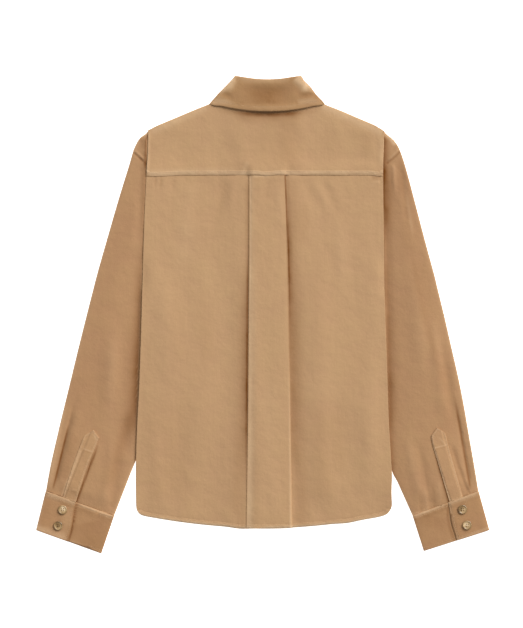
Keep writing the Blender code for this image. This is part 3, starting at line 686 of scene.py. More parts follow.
backFolds = (
    # a ridge and two troughs right of the pleat, with painted light and shade
    fold((88, 170), (98, -310), 44, 3.2, bow=-4, fade=(0.4, 0.1), tone=0.02),
    fold((43, 196), (53, -333), 15, -0.9, fade=(0.35, 0), tone=-0.07),
    fold((52, 120), (64, -333), 18, -0.4, fade=(0.3, 0), tone=-0.08),
    # painted shade beside the pleat's right edge
    shade((35.2, 215), (45.2, -300), (24, 2.4), -0.25, bow=1.2, fade=(0.2, 0.3)),
    shade((34.4, 218), (43.6, -60), (3.6, 1.6), -0.54, bow=1.2, fade=(0, 0.7)),
    shade((39, 218), (46, -60), (5, 3), -0.14, bow=1.2, fade=(0, 0.5)),
    # the pleat's edges: low ridges, painted light on the pleat and painted shade beside its left
    # edge
    fold((41.1, -40), (43.1, -331), 4, 0.5, fade=(0.3, 0), tone=0.14),
    fold((-18, 214), (-21, -331), 5, 0.3, fade=(0.1, 0), tone=0.02),
    shade((-18.2, 214), (-18.6, 120), 2.5, 0.06, fade=(0, 0.5)),
    shade((-21.4, 216), (-23.8, -270), (1.4, 10), -0.2, bow=0.6, fade=(0.05, 0.3)),
    shade((-22.4, 130), (-25.8, -331), 3.4, -0.25, bow=0.3, fade=(0.2, 0.45)),
    shade((-21.4, 218), (-22.6, 0), 2, -0.16, bow=0.6, fade=(0, 0.4)),
    shade((-18.7, 216), (-19.6, 0), 1.6, 0.2, bow=0.6, fade=(0, 0.4)),
    shade((-15.5, 216), (-16, 20), 3, 0.05, fade=(0, 0.4)),
    shade((-22, 110), (-24.4, -300), (1.6, 25), -0.27, fade=(0.3, 0.4)),
    # painted light and shade under the yoke's seam
    shade((-178, 215.8), (184, 216.2), 3, 0.2, fade=0.02),
    shade((-178, 210), (184, 210), 5, -0.03, fade=0.02),
    shade((168, 214.6), (184, 214.4), 5, -0.24, fade=(0.3, 0.1)),
    # painted shade each side of the pleat, and two soft troughs
    shade((64, 182), (72, 125), 12, -0.05),
    shade((44, 216), (66, 90), 22, -0.08, fade=(0.1, 0.3)),
    shade((112, -125), (122, -262), 24, -0.05),
    fold((-30, 60), (-34, -331), 18, -0.4, bow=2, fade=(0.35, 0), tone=-0.05),
    fold((-54, 110), (-52, -240), 30, -0.9, bow=3, fade=(0.35, 0.4), tone=-0.01),
    # broad painted shade and light, and a broad ridge
    shade((78, 150), (92, -120), 60, -0.045, fade=(0.4, 0.3)),
    shade((86, -110), (98, -300), 34, -0.07, fade=(0.3, 0.2)),
    shade((-94, 60), (-82, -110), 34, -0.05, fade=0.4),
    shade((-140, 70), (-128, -110), 34, -0.04, fade=0.4),
    shade((-160, -120), (-150, -300), 60, -0.035, fade=(0.3, 0.2)),
    shade((-40, -150), (-42, -320), 16, -0.06, fade=(0.3, 0.1)),
    shade((10, -60), (12, -320), 44, 0.04, fade=(0.3, 0.1)),
    shade((-118, 160), (-122, 60), 30, 0.03, fade=(0.3, 0.4)),
    fold((-94, 120), (-98, -250), 44, 1.6, bow=5, fade=(0.4, 0.3)),
    # creases from the yoke's seam, with a little painted light and shade
    fold((-58, 212), (-78, 120), 13, -0.9, fade=(0.15, 0.6), tone=-0.03),
    fold((-42, 214), (-56, 150), 12, 0.9, fade=(0.15, 0.6)),
    fold((-112, 212), (-126, 100), 24, 1, fade=(0.2, 0.6), tone=0.02),
    fold((-157, 214), (-160, 190), 4, -0.6, fade=(0.1, 0.6), tone=-0.1),
    fold((-166, 214), (-168, 196), 3.4, -0.6, fade=(0.1, 0.6), tone=-0.1),
    fold((-138, 213), (-142, 190), 7, -0.6, fade=(0.1, 0.6), tone=-0.03),
    fold((62, 213), (86, 158), 12, -0.5, fade=(0.1, 0.6), tone=-0.02),
    fold((76, 212), (112, 150), 12, 0.6, fade=(0.15, 0.5), tone=0.01),
    fold((92, 212), (122, 140), 12, -0.4, fade=(0.15, 0.5)),
    fold((104, 212), (128, 160), 11, 0.4, fade=(0.15, 0.5)),
    fold((122, 160), (126, 0), 24, 1, bow=-3, fade=(0.4, 0.5), tone=0.02),
    # a pull by the armhole, with painted light on it
    fold((182, 209), (164, 200), 5, 0.8, fade=(0.1, 0.5), tone=0.06),
    # by the armpits, down to the sleeves
    fold((189.2, 100), (190.8, 18), 16, -1.5),
    fold((-185.6, 98), (-187.6, 28), 16, -1.6, fade=(0.4, 0.3)),
    # down the panels
    fold((150, 60), (138, -150), 40, -1.2, bow=4, fade=0.4, tone=-0.02),
    fold((172, -40), (162, -310), 32, 1.2, fade=(0.4, 0.2), tone=0.02),
    fold((-150, 80), (-146, -120), 36, 1.2, fade=0.4, tone=0.02),
    fold((-122, -80), (-130, -310), 34, -1, bow=-4, fade=(0.4, 0.2), tone=-0.02),
    fold((-170, -140), (-160, -310), 24, 1, fade=(0.4, 0.2)),
    # on the pleat
    fold((8, 210), (4, 160), 8, -0.9, fade=(0.1, 0.6), tone=-0.03),
    fold((24, 205), (30, 120), 12, 0.7, fade=(0.2, 0.6), tone=0.02),
    fold((2, 60), (8, -200), 26, -0.9, fade=0.4),
    fold((14, -220), (20, -320), 18, 0.7, fade=(0.4, 0.2)),
)
backCloth = {
    "node": "back", "slot": "body_corduroy", "wall": 1.0, "levels": 3, "flat": (0.470, 0.557),
    "sewnEdge": lambda place, normal: place.y < -309,
    # darker towards the hem, and painted light on the pleat beside its left edge; rimTone is
    # painted light on the hem's cut edge
    "tint": lambda x, y, z: -0.045 * ramp(y, 40, -300) + lightEdge(x, y),
    "raise": pressPleat, "rimTone": lambda y: 0.6 * (y < -300),
    "pulls": (pull((-34, -330), 26, (0, -1.6)), pull((132, -322), 26, (0, -1.3)),
              pull((201, -250), 26, (0.8, 0)), pull((201, -300), 26, (0.8, 0))),
    "folds": backFolds,
}


seamPress = {
    "base": 0.95, "end": (217.0, 225.0),         # how deep, and the stretch of y where it ends
    "onPleat": 0.35, "pleat": (8.0, 22.0),       # how much more on the pleat, and where that is
    "beside": 2.6, "besideEnd": (218.0, 242.0),
    "places": ((-15.5, -26.0, -60.0), (31.0, 42.0, 68.0)),       # start, deepest place and end
}


def pressSeam(x, y, z):
    # the yoke's lower edge is sewn down, over the pleat and beside it
    base = seamPress["base"] + seamPress["onPleat"] * bell(x, *seamPress["pleat"])
    beside = seamPress["beside"] * sum(ramp(x, start, deep) * (1.0 - ramp(x, deep, end))
                                       for start, deep, end in seamPress["places"])
    return (-base * (1.0 - ramp(y, *seamPress["end"]))
            - beside * (1.0 - ramp(y, *seamPress["besideEnd"])))


yokeFolds = (
    # creases from the neck and the shoulders
    fold((-70, 300), (-20, 236), 26, 0.5, bow=6, fade=0.4),
    fold((10, 290), (0, 240), 20, 0.5, fade=(0.4, 0.5)),
    fold((40, 300), (60, 240), 18, -0.4, fade=(0.3, 0.5)),
    fold((100, 300), (150, 262), 30, 0.7, bow=-4, fade=0.4),
    fold((-110, 296), (-150, 258), 30, 0.6, bow=4, fade=0.4),
    fold((120, 240), (175, 246), 16, -0.4, fade=(0.4, 0.3)),
    # ridges along the armholes, with painted light
    fold((-176.4, 287), (-178.6, 222), 4.5, 0.5, fade=0.1, tone=0.1),
    fold((184, 284), (183, 226), 8, 0.6, tone=0.05),
    # painted shadow under the collar
    shade((-60, 318), (76, 318), (8, 7), -0.32, bow=-7),
    shade((-74, 318), (90, 318), (16, 8), -0.12, bow=-8, fade=0.1),
    shade((-52, 310), (70, 310), 18, -0.2, bow=-4, fade=0.2),
    # broad painted shade, and painted light along the ridge of the seam
    shade((40, 302), (44, 222), 34, -0.07, fade=0.1),
    shade((-22, 240), (-30, 222), 7, 0.08, fade=(0.3, 0)),
    shade((-178, 216.6), (184, 217), 4.4, 0.22, fade=0.02),
    shade((12, 312), (24, 225), 90, -0.06, fade=(0.3, 0.2)),
    shade((104, 300), (120, 232), 40, -0.03, fade=(0.3, 0.2)),
    # painted light and shade above the seam
    shade((-178, 225), (-30, 225), 7, 0.07, fade=(0.02, 0.2)),
    shade((60, 218.6), (186, 218.6), 3.2, -0.09, fade=(0.1, 0.05)),
    # painted light along the shoulders
    shade((-178, 283), (-82, 325), 13, 0.13, fade=0.1),
    shade((92, 326), (188, 283), 14, 0.17, fade=0.05),
    # painted shade by the right armhole, and a ridge over the pleat
    shade((128, 262), (176, 268), 34, -0.08),
    fold((-20, 219), (36, 219), 6, 0.3, fade=0.1),
)
yokeCloth = {
    "node": "yoke", "slot": "body_corduroy", "wall": 1.0, "levels": 3, "flat": (0.373, 0.150),
    "corner": lambda x, y: abs(x - 5) > 170 and y > 270,
    "upper": (3.2, 4.6),
    "pulls": (pull((-180, 288), 20, (-0.3, -1.3)), pull((190, 286), 20, (-0.5, -2)),
              pull((-168, 216), 50, (0, -1.9)), pull((6, 216), 20, (0, -1.5)),
              pull((184, 216), 20, (0, -1.9))),
    "sewnEdge": lambda place, normal: place.y < 218,
    "folds": yokeFolds,
    # rimTone is painted light on the cut edges above its seam
    "raise": pressSeam, "rimTone": lambda y: 0.22 * (y > 222),
}
frontCloth = {"slot": "body_corduroy", "wall": 1.0, "levels": 2, "flat": (0.186, 0.630)}
bandCloth = {"slot": "body_corduroy", "wall": 1.4, "levels": 3, "flat": (0.032, 0.595)}
standCloth = {"node": "collar_stand", "slot": "collar_corduroy", "wall": 1.4, "levels": 2,
              "flat": (0.300, 0.036)}

back = makeCloth(backCloth, bodyPile)
yoke = makeCloth(yokeCloth, yokePile)
fronts = {word: makeCloth({**frontCloth, "node": "front_" + word}, hiddenPile) for _, word in sides}
bands = {word: makeCloth({**bandCloth, "node": "band_" + word}, hiddenPile) for _, word in sides}
print("body made")


# Collar

leafLift = {
    "middle": (7.8, 56.0), "outer": (5.0, 6.4),  # where it lifts, and the height of its outer face
    "stand": 1.6, "standEnd": (320.0, 352.0),    # how far its outer edge stands off the yoke
    "droop": 1.8, "droopEnd": (326.0, 346.0),    # how far its corners lie below that
}


def liftLeaf(x, y, z):
    centre = bell(x, *leafLift["middle"])
    stand = leafLift["stand"] * centre * (1.0 - ramp(y, *leafLift["standEnd"]))
    droop = leafLift["droop"] * (1.0 - centre) * (1.0 - ramp(y, *leafLift["droopEnd"]))
    return ramp(z, *leafLift["outer"]) * (stand - droop)


leafFolds = (
    # creases at its left and right corners and a hollow between them, each with painted shade;
    # painted shade over its middle and painted light along its fold
    fold((-70, 345), (-42, 333), 8, -0.8, bow=2, fade=(0.2, 0.5), tone=-0.12),
    fold((87, 341), (51, 337), 8, -0.9, bow=-2.5, fade=(0.15, 0.5), tone=-0.22),
    fold((-40, 346), (52, 346), (18, 32), -1.4, bow=2, fade=(0.35, 0.3), tone=-0.14),
    shade((6, 362), (6, 321), 60, -0.17, fade=(0.45, 0.25)),
    shade((-40, 368), (46, 368), 12, 0.12, bow=-4, fade=0.15),
    # painted light over its ends and along its outer edge, with two low ridges and a little painted
    # shade in the middle
    shade((-44, 371), (-70, 343), 10, 0.32, fade=(0, 0.2)),
    shade((-20, 342), (24, 334), 14, -0.05),
    fold((50, 369), (73, 346), (14, 12), 1.1, fade=(0.15, 0.4), tone=0.36),
    fold((-42, 367), (-56, 342), (10, 12), 0.8, fade=(0.2, 0.5), tone=0.16),
    shade((-44, 361), (-77, 331), 9, 0.09, fade=0.2),
    shade((-80, 334), (-40, 328), 9, 0.19, fade=(0.2, 0.5)),
    shade((48, 331), (92, 333), 9, 0.14),
    shade((-30, 326), (60, 326), 7, 0.04, bow=-4, fade=0.2),
    shade((62, 356), (84, 339), 14, 0.15, fade=0.2),
    # painted shade of a few pressed wales
    *(shade((place, 335 - 0.001 * (place - 8) ** 2), (place, 327 - 0.003 * (place - 8) ** 2),
            2.6, -0.07)
      for place in (-33, -30.5, -9, -6, 7, 11, 17.6, 21.3, 25, 52.8)),
    # its outer edge
    fold((-56, 324), (68, 324), 8, 0.5, bow=-3, fade=0.2),
)
leafCloth = {
    "node": "collar_leaf", "slot": "collar_corduroy", "wall": 1.4, "levels": 3,
    "flat": (0.400, 0.062), "upper": (4.4, 5.6),
    "sewnEdge": lambda place, normal: place.z > 4.0 and place.y < 340,
    "pulls": (pull((-79, 331), 20, (-3, -4)), pull((96, 331), 20, (1.5, -4)),
              pull((88, 346), 16, (-1, -1.4)), pull((58, 369), 9, (1.6, 1.4)),
              pull((-41, 369), 8, (-0.4, 1.2))),
    "folds": leafFolds,
    # rimTone is painted light on its cut edges above the lower band
    "raise": liftLeaf, "rimTone": lambda y: 0.16 * (y > 333),
}

stand = makeCloth(standCloth, hiddenPile)
leaf = makeCloth(leafCloth, collarPile)
print("collar made")


# Sleeves, plackets and cuffs

leftSleeveFolds = (
    # a crease across the head, with painted shade in it and painted light above it
    fold((-201, 252.6), (-179.5, 232.8), 3, -0.7, fade=(0.08, 0.1), tone=-0.26),
    fold((-199, 256), (-180.5, 238), 4, 0.5, fade=0.2, tone=0.07),
    shade((-193, 246), (-187, 236), (5, 2), -0.2, fade=(0.3, 0.5)),
    # painted shade and painted light below the shoulder
    shade((-188, 277), (-184.5, 256), 9, -0.12),
    shade((-190, 274), (-202.5, 249), 5, 0.1, fade=(0.2, 0.4)),
    # painted light outside the placket
    shade((-283.5, -206), (-312, -281), 2.2, 0.17, fade=(0.1, 0)),
    # painted shade beside the yoke, and a ridge
    shade((-181.2, 284), (-182.6, 226), (3, 3.5), -0.36, fade=0.1),
    fold((-181, 284), (-186.5, 110), 9, 0.8, fade=(0.05, 0.3)),
    # down the sleeve
    fold((-196, 200), (-216, 60), 16, 0.8, bow=4, fade=(0.3, 0.5)),
    # a trough beside the body, and the painted shadow of the body's edge
    fold((-189, 120), (-198.4, -200), (4, 16), -1, fade=(0.3, 0.25), tone=-0.26),
    shade((-181, 262), (-186, 100), (6, 10), -0.16, fade=(0.1, 0.4)),
    shade((-190, 20), (-200, -215), (4, 34), -0.22, fade=(0.4, 0.25)),
    shade((-184.4, 150), (-193.6, -150), 8, -0.07, fade=0.2),
    # painted light on the shoulder's tip
    shade((-192, 277), (-183, 285), 6, 0.3, fade=(0.2, 0)),
    # painted shade and folds towards the cuff
    shade((-196, -120), (-244, -285), 20, -0.14),
    shade((-270, -70), (-285, -205), 40, -0.04),
    fold((-224, 0), (-238, -180), 24, 1.8, bow=-5, fade=0.4, tone=0.03),
    fold((-262, -40), (-266, -200), 34, -1.1, bow=6, fade=0.4, tone=-0.02),
    fold((-206, -150), (-212, -225), 18, -1.2, bow=-4, fade=(0.3, 0.4), tone=-0.05),
    fold((-234, -180), (-250, -300), 14, 1.2, bow=3, fade=(0.3, 0.2), tone=0.02),
    fold((-220, -215), (-236, -305), 11, -0.9, fade=(0.3, 0.1), tone=-0.03),
    fold((-280, -130), (-302, -215), 14, 1, fade=(0.4, 0.3)),
    # the tuck above the lap, with painted shade along it
    fold((-291.4, -128), (-322.6, -264), (9, 4), -1.2, fade=(0.35, 0.08), tone=-0.12),
    shade((-300, -165), (-326.8, -275), (4, 3), -0.48, fade=(0.25, 0.12)),
    shade((-290, -175), (-312, -258), 18, -0.1, fade=(0.3, 0.1)),
    # painted shade above the cuff
    shade((-304, -289), (-238, -312), 16, -0.07, fade=0.1),
    # a ridge outside the tuck, with painted light
    fold((-306, -120), (-334, -270), 9, 1.2, fade=(0.4, 0.1), tone=0.08),
    # painted shadow beside the placket
    shade((-252.6, -194), (-289, -290), (3.4, 2.6), -0.48, fade=(0.3, 0)),
    shade((-256, -201), (-289.6, -290), (9, 2.6), -0.14, fade=(0.3, 0)),
)
rightSleeveFolds = (
    # a crease across the head, with painted shade in it and painted light above it
    fold((213.4, 253.4), (191.5, 234.2), 3, -0.7, bow=1.2, fade=(0.05, 0.1), tone=-0.26),
    fold((211, 257), (193, 240), 4, 0.5, bow=1.2, fade=0.2, tone=0.06),
    # folds down the sleeve, with painted shade and painted light
    fold((203, 236), (206, 180), 7, 1.2, fade=(0.15, 0.5), tone=0.07),
    fold((214, 238), (224, 120), 9, -0.9, bow=2, fade=(0.2, 0.5), tone=-0.03),
    shade((213, 246), (222, 175), 14, -0.1, fade=(0.2, 0.4)),
    shade((240, 105), (262, -20), 22, -0.06),
    shade((214, 232), (232, 70), 34, -0.05, fade=(0.2, 0.3)),
    shade((262, -299.5), (234, -310), 3.2, 0.12, fade=(0.4, 0)),
    shade((278, -55), (292, -210), 18, -0.07),
    # a trough and a ridge beside the body, and the painted shadow of its edge
    fold((192, 190), (198, -190), (16, 4), -0.9, fade=(0.3, 0.2), tone=-0.16),
    shade((189.4, 288), (190, 200), (12, 5), -0.46, fade=(0.06, 0.3)),
    fold((189.8, 284), (189.6, 110), 9, 0.8, fade=(0.05, 0.3)),
    shade((189.6, 236), (190, 90), (18, 5), -0.42, fade=(0.3, 0.45)),
    shade((189, 240), (191, 120), (34, 5), -0.12, fade=(0.3, 0.5)),
    shade((192, 70), (198, -190), (30, 5), -0.1, fade=(0.4, 0.2)),
    shade((188.6, 130), (200.4, -236), (8, 9), -0.11, bow=1, fade=(0.2, 0)),
    shade((192.5, -20), (201, -236), 11, -0.15, fade=(0.95, 0)),
    shade((187.4, 150), (191, 0), (7, 4), -0.16, fade=(0.2, 0.3)),
    shade((196, -60), (205, -236), 22, -0.08, fade=(0.3, 0)),
    # painted shade and light down the sleeve, and painted light on the shoulder's tip
    shade((229, 110), (288, -130), 9, -0.07, bow=-4, fade=0.2),
    shade((218, 222), (236, 108), 6, 0.1, fade=(0.2, 0.3)),
    shade((190, 285), (208, 262), 6, 0.32, fade=(0.1, 0.2)),
    shade((188.5, 262), (188.5, 150), (3, 4), -0.2),
    # towards the cuff
    fold((232, 80), (244, -120), 28, 1.4, bow=5, fade=0.4, tone=0.02),
    fold((264, 20), (286, -180), 18, 1.5, bow=-3, fade=(0.4, 0.3), tone=0.03),
    fold((278, -40), (302, -190), 12, -1.2, fade=(0.4, 0.3), tone=-0.04),
    fold((222, -180), (250, -295), 16, 1.1, bow=-3, fade=(0.3, 0.2), tone=0.02),
    fold((240, -190), (262, -300), 11, -1, fade=(0.3, 0.1), tone=-0.03),
    # the tuck above the lap, with painted shade along it
    fold((298.9, -128), (323.6, -264), (4, 9), -1.1, fade=(0.3, 0.1), tone=-0.1),
    shade((297.3, -120), (323.4, -272), (3, 4), -0.4, fade=(0.3, 0.06)),
    # painted shadow beside the placket
    shade((262.8, -200), (288.8, -290), (2.6, 3.4), -0.52, fade=(0.5, 0)),
    # a ridge outside the tuck, with painted light
    fold((312, -130), (336, -270), 9, 1.2, fade=(0.4, 0.1), tone=0.05),
    # painted shade above the cuff, and small gathers with painted light and shade
    shade((330, -279), (240, -311), 16, -0.06, fade=0.1),
    fold((252, -262), (256, -303), 6, 0.5, fade=(0.4, 0), tone=0.04),
    fold((262, -252), (267, -300), 5, -0.5, fade=(0.4, 0), tone=-0.06),
    fold((243, -268), (246, -306), 5, -0.4, fade=(0.4, 0), tone=-0.05),
    fold((272, -250), (277, -298), 6, 0.4, fade=(0.4, 0), tone=0.03),
    fold((293, -200), (320, -279), 6, -1.1, bow=-1, fade=(0.2, 0.1), tone=-0.1),
)
sleeveCloth = {
    "slot": "sleeve_corduroy", "wall": 1.0, "levels": 3, "flat": (0.295, 0.600), "area": 0.118,
    "upper": (1.7, 2.4), "corner": lambda x, y: y > 270,
    "pulls": (pull((-183, 283), 13, (5.6, 0.6)), pull((193.6, 283), 13, (-5.4, 0.6)),
              pull((208, -245), 16, (-1.3, -0.8))),
    # tint is painted light along its outer edge, which faces away from the key light
    "tint": lambda x, y, z: (0.32 + 0.06 * (x < 0)) * bell(z, 1.6, 0.8),      # its outer edge
}
placketCloth = {
    "slot": "sleeve_corduroy", "wall": 1.4, "levels": 4, "flat": (0.022, 0.115),
    "pulls": (pull((-256, -207), 24, (1.6, 0)), pull((276, -245), 80, (-1.8, 0)),
              pull((264, -200), 30, (-1.6, 0))),
}
cuffCloth = {
    "slot": "sleeve_corduroy", "wall": 1.4, "levels": 4, "flat": (0.270, 0.060),
    "sewnEdge": lambda place, normal: place.z > (2.1 if abs(normal.y) > 0.7 else 3.6),
    "pulls": (pull((-299, -327), 32, (2.3, 0)), pull((296, -324), 32, (-2.4, 0))),
}

leftPlacketFolds = (
    # painted light along its outer edge and on its point, and faint painted shade
    shade((-280.5, -206), (-309, -281), 4, 0.15, fade=(0.1, 0)),
    shade((-272, -206), (-298, -281), 14, -0.04, fade=(0.1, 0)),
    shade((-262.5, -183), (-257.5, -197), 3.4, 0.12),
    # painted light and shade across it, standing in for its cross stitching, and a low ridge
    shade((-279, -207.4), (-264.5, -213), 2.2, 0.14, fade=0.1),
    shade((-279.6, -210), (-265, -215.4), 2.4, -0.1, fade=0.1),
    fold((-297, -271), (-287, -273.4), 3, 0.3, fade=0.2, tone=0.08),
    shade((-298, -275), (-288, -277), 5, -0.07, fade=0.2),
)
rightPlacketFolds = (
    # painted light and shade across it, standing in for its cross stitching, and painted light on
    # its point
    shade((267.7, -207.1), (288.4, -201.5), 2.2, 0.16, fade=0.1),
    shade((268.4, -209.6), (288.4, -204), 2.2, -0.08, fade=0.1),
    shade((274.9, -190), (285.6, -201.7), 2, 0.1, fade=0.1),
    shade((266, -185), (267, -203), 2.6, 0.08, fade=0.1),
    # painted light along its inner edge
    shade((266.9, -204), (292.7, -290), 1.8, 0.24, fade=(0.05, 0)),
    shade((289, -206), (308, -270), 4, 0.04, fade=0.2),
)

# from their left to their right ends, so that the sleeve lies to the left of them
cuffSeams = {-1: ((-336.7, -275.3), (-231.4, -313.8)), 1: ((234.0, -313.4), (335.7, -275.3))}
leftCuffFolds = (
    # painted shadow beside the lap, and faint painted light on the lap
    shade((-290.2, -296), (-303.4, -352), (11, 2.6), -0.16, fade=0),
    shade((-289.8, -295), (-303, -352), 2.6, -0.4, fade=0),
    shade((-300, -296), (-314, -350), 18, 0.05, fade=0.1),
    # painted light along the seam, and painted shade below it
    shade((-337, -278.5), (-232, -317), 5, 0.13, fade=0.05),
    shade((-341, -279), (-312, -290), 7, 0.1, fade=(0, 0.5)),
    shade((-286, -300), (-243, -316), (4, 12), -0.08, fade=0.1),
    # painted shade across it, and painted light along its outer edges
    shade((-270, -320), (-262, -364), 60, -0.12, fade=(0.1, 0)),
    shade((-350, -328), (-305, -344), 9, 0.1, fade=(0, 0.1)),
    shade((-350, -331), (-262, -365), 5, 0.12, fade=0),
    shade((-341, -284), (-352, -330), 10, 0.12, fade=(0.1, 0)),
    # painted shade under the seam
    shade((-290, -290.6), (-230, -312.4), 2.2, -0.2, fade=(0.1, 0)),
    shade((-330, -284), (-346, -332), 16, -0.03, fade=0.1),
)
rightCuffFolds = (
    # painted shadow beside the lap, and painted light along its edge
    shade((287.8, -296), (300.4, -350), (3, 6), -0.34, fade=0),
    shade((290.4, -296), (303, -350), 2.4, 0.16, fade=0),
    shade((293, -296), (305.6, -350), 3, 0.08, fade=0),
    # painted light along the seam, and painted shade below it
    shade((264, -303), (234, -314), 4.5, 0.14, fade=(0.4, 0)),
    shade((336, -278), (234.6, -316.4), 5, 0.12, fade=0.05),
    shade((284, -300), (247, -314), (12, 4), -0.09, fade=0.1),
    # painted shade across it, and painted light along its lower edge
    shade((268, -312), (262, -335), 60, -0.09, fade=(0.1, 0.4)),
    shade((351, -331), (262, -366), 5, 0.12, fade=0),
)
rightLap = ((289.6, -296.0), (302.2, -350.0))        # edge of the right cuff's lap
placketMiddles = {-1: ((-267.5, -206.0), (-299.3, -285.7)), 1: ((278.2, -206.6), (301.5, -283.7))}
placketEdges = {              # how far its outer and inner edges sink, and where they do
    "sink": {-1: (1.3, 0.0), 1: (0.9, 1.0)}, "outer": (6.0, 10.0), "inner": (-7.5, -10.5),
}
cuffGrip = {
    "ridge": 0.9, "over": 1.9, "reach": 9.0,             # its upper edge rises and laps the sleeve
    "crest": -3.0, "ridgeLayer": (1.9, 2.2), "overLayer": (1.6, 2.4),
    "press": 2.2, "pressReach": 26.0,                    # what it does to the sleeve above it
    "pressLayer": (3.2, 5.6),
    "lapPress": 1.4, "lapWidth": 3.0, "lapLayer": (3.6, 5.0),        # along the right cuff's lap
}


def aboveSeam(side, x, y):
    # how far a point lies above the seam between a cuff and its sleeve
    return besideLine(cuffSeams[side], x, y)


def pressSleeve(side):
    def press(x, y, z):
        near = 1.0 - ramp(aboveSeam(side, x, y), 0.0, cuffGrip["pressReach"])
        return -cuffGrip["press"] * ramp(z, *cuffGrip["pressLayer"]) * near
    return press


def belowSeam(side):
    return lambda x, y: np.maximum(cuffGrip["over"] - aboveSeam(side, x, y), 0.0)


def liftCuff(side):
    def lift(x, y, z):
        ridge = ramp(aboveSeam(side, x, y), -cuffGrip["reach"], cuffGrip["crest"])
        ridge *= ramp(z, *cuffGrip["ridgeLayer"])
        onLap = bell(besideLine(rightLap, x, y), 0.0, cuffGrip["lapWidth"]) * (side > 0)
        press = cuffGrip["lapPress"] * ramp(z, *cuffGrip["lapLayer"]) * onLap
        return cuffGrip["ridge"] * ridge - press
    return lift


def pressPlacket(side):
    outer, inner = placketEdges["sink"][side]

    def sink(x, y, z):
        outward = side * besideLine(placketMiddles[side], x, y)
        edges = (outer * ramp(outward, *placketEdges["outer"])
                 + inner * ramp(outward, *placketEdges["inner"]))
        return pressSleeve(side)(x, y, z) - edges
    return sink


def closeCuff(piece, side):
    # the cuff's upper edge reaches a little over the sleeve
    points = pointsOf(piece)
    x, y, z = (points / mm).T
    share = ramp(aboveSeam(side, x, y), -cuffGrip["reach"], -1.0)
    share *= ramp(z, *cuffGrip["overLayer"])
    points[:, :2] += np.outer(share * cuffGrip["over"] * mm, leftOf(cuffSeams[side]))
    setPoints(piece, points)


sideFolds = {-1: (leftSleeveFolds, leftPlacketFolds, leftCuffFolds),
             1: (rightSleeveFolds, rightPlacketFolds, rightCuffFolds)}
sleeves, plackets, cuffs = {}, {}, {}
for side, word in sides:
    onSleeve, onPlacket, onCuff = sideFolds[side]
    sleeve = {**sleeveCloth, "node": "sleeve_" + word, "folds": onSleeve,
              "raise": pressSleeve(side)}
    placket = {**placketCloth, "node": "placket_" + word, "folds": onPlacket,
               "raise": pressPlacket(side)}
    cuff = {**cuffCloth, "node": "cuff_" + word, "folds": onCuff,
            "raise": liftCuff(side), "edge": belowSeam(side)}
    sleeves[word] = makeCloth(sleeve, sleevePile[side])
    plackets[word] = makeCloth(placket, placketPile[side])
    cuffs[word] = makeCloth(cuff, cuffPile[side])
    closeCuff(cuffs[word], side)
print("sleeves made")


# Stitch rows

rows = {
    "yoke": sew("yoke", yoke, fromEdge["yoke"], yokeCloth["sewnEdge"]),
    "back": sew("hem", back, fromEdge["back"], backCloth["sewnEdge"]),
    "leaf": sew("collar", leaf, fromEdge["collar"], lambda place, normal: place.z > 4.0),
}
for side, word in sides:
    cuff, placket = "cuff_" + word, "placket_" + word
    rows[cuff] = sew(cuff, cuffs[word], fromEdge["cuff"], cuffCloth["sewnEdge"])
    rows[placket] = sew(placket, plackets[word], fromEdge["placket"], anyEdge)
print("stitches made")


# Buttons

buttonForm = {
    "sides": 32, "foot": 0.6,                # its underside, as a share of its radius
    "turning": (                     # each ring's size by the last one, its rise by the height
        (1.6, 0.24), (1.04, 0.3), (0.97, 0.3), (0.9, 0.16),         # up round the rim
        (0.84, -0.13), (0.88, -0.2), (0.9, -0.03)),                 # down into the dish
    "holes": 4, "holeCircle": 2.0, "holeRadius": 0.85, "holeSides": 12,
    "shading": math.radians(35), "spot": 0.6, "rimShade": 0.08, "rimFrom": (0.62, 0.95),
}
buttonTones = {              # a horn's tone, the strength of a painted highlight, and where that lies
    "cuff_button_left_1": (0.56, 0.38, (0.1, 0.2)),
    "cuff_button_left_2": (0.48, 0.24, (0.5, -0.3)),
    "cuff_button_right_1": (0.44, 0.32, (0.3, -0.1)),
    "cuff_button_right_2": (0.56, 0.42, (-0.3, 0.15)),
    "hidden": (0.5, 0.2, (0.2, 0.2)),
}
horn = hornFinish("horn_brown")


def turnButton(name, radius, height):
    # a disc at the origin, turned up round its rim and down into its dish
    bpy.ops.object.select_all(action="DESELECT")
    bpy.ops.mesh.primitive_circle_add(vertices=buttonForm["sides"], fill_type="NGON",
                                      radius=radius * buttonForm["foot"])
    piece = bpy.context.object
    piece.name = name
    bpy.ops.object.mode_set(mode="EDIT")
    bpy.ops.mesh.select_all(action="SELECT")
    for scale, rise in buttonForm["turning"]:
        way = {"value": (0, 0, rise * height)}
        bpy.ops.mesh.extrude_region_move(TRANSFORM_OT_translate=way)
        bpy.ops.transform.resize(value=(scale, scale, 1))
    bpy.ops.object.mode_set(mode="OBJECT")
    return piece


def drillButton(piece, height):
    form = buttonForm
    bpy.ops.mesh.primitive_cylinder_add(vertices=form["holeSides"], depth=height * 4,
                                        radius=form["holeRadius"] * mm)
    drill = bpy.context.object
    for index in range(form["holes"]):
        angle = math.tau * (index + 0.5) / form["holes"]
        drill.location = Vector((math.cos(angle), math.sin(angle), 0)) * form["holeCircle"] * mm
        bpy.context.view_layer.update()
        selectOnly(piece)
        hole = piece.modifiers.new("hole", "BOOLEAN")
        hole.operation, hole.object = "DIFFERENCE", drill
        bpy.ops.object.modifier_apply(modifier="hole")
    discard(drill)


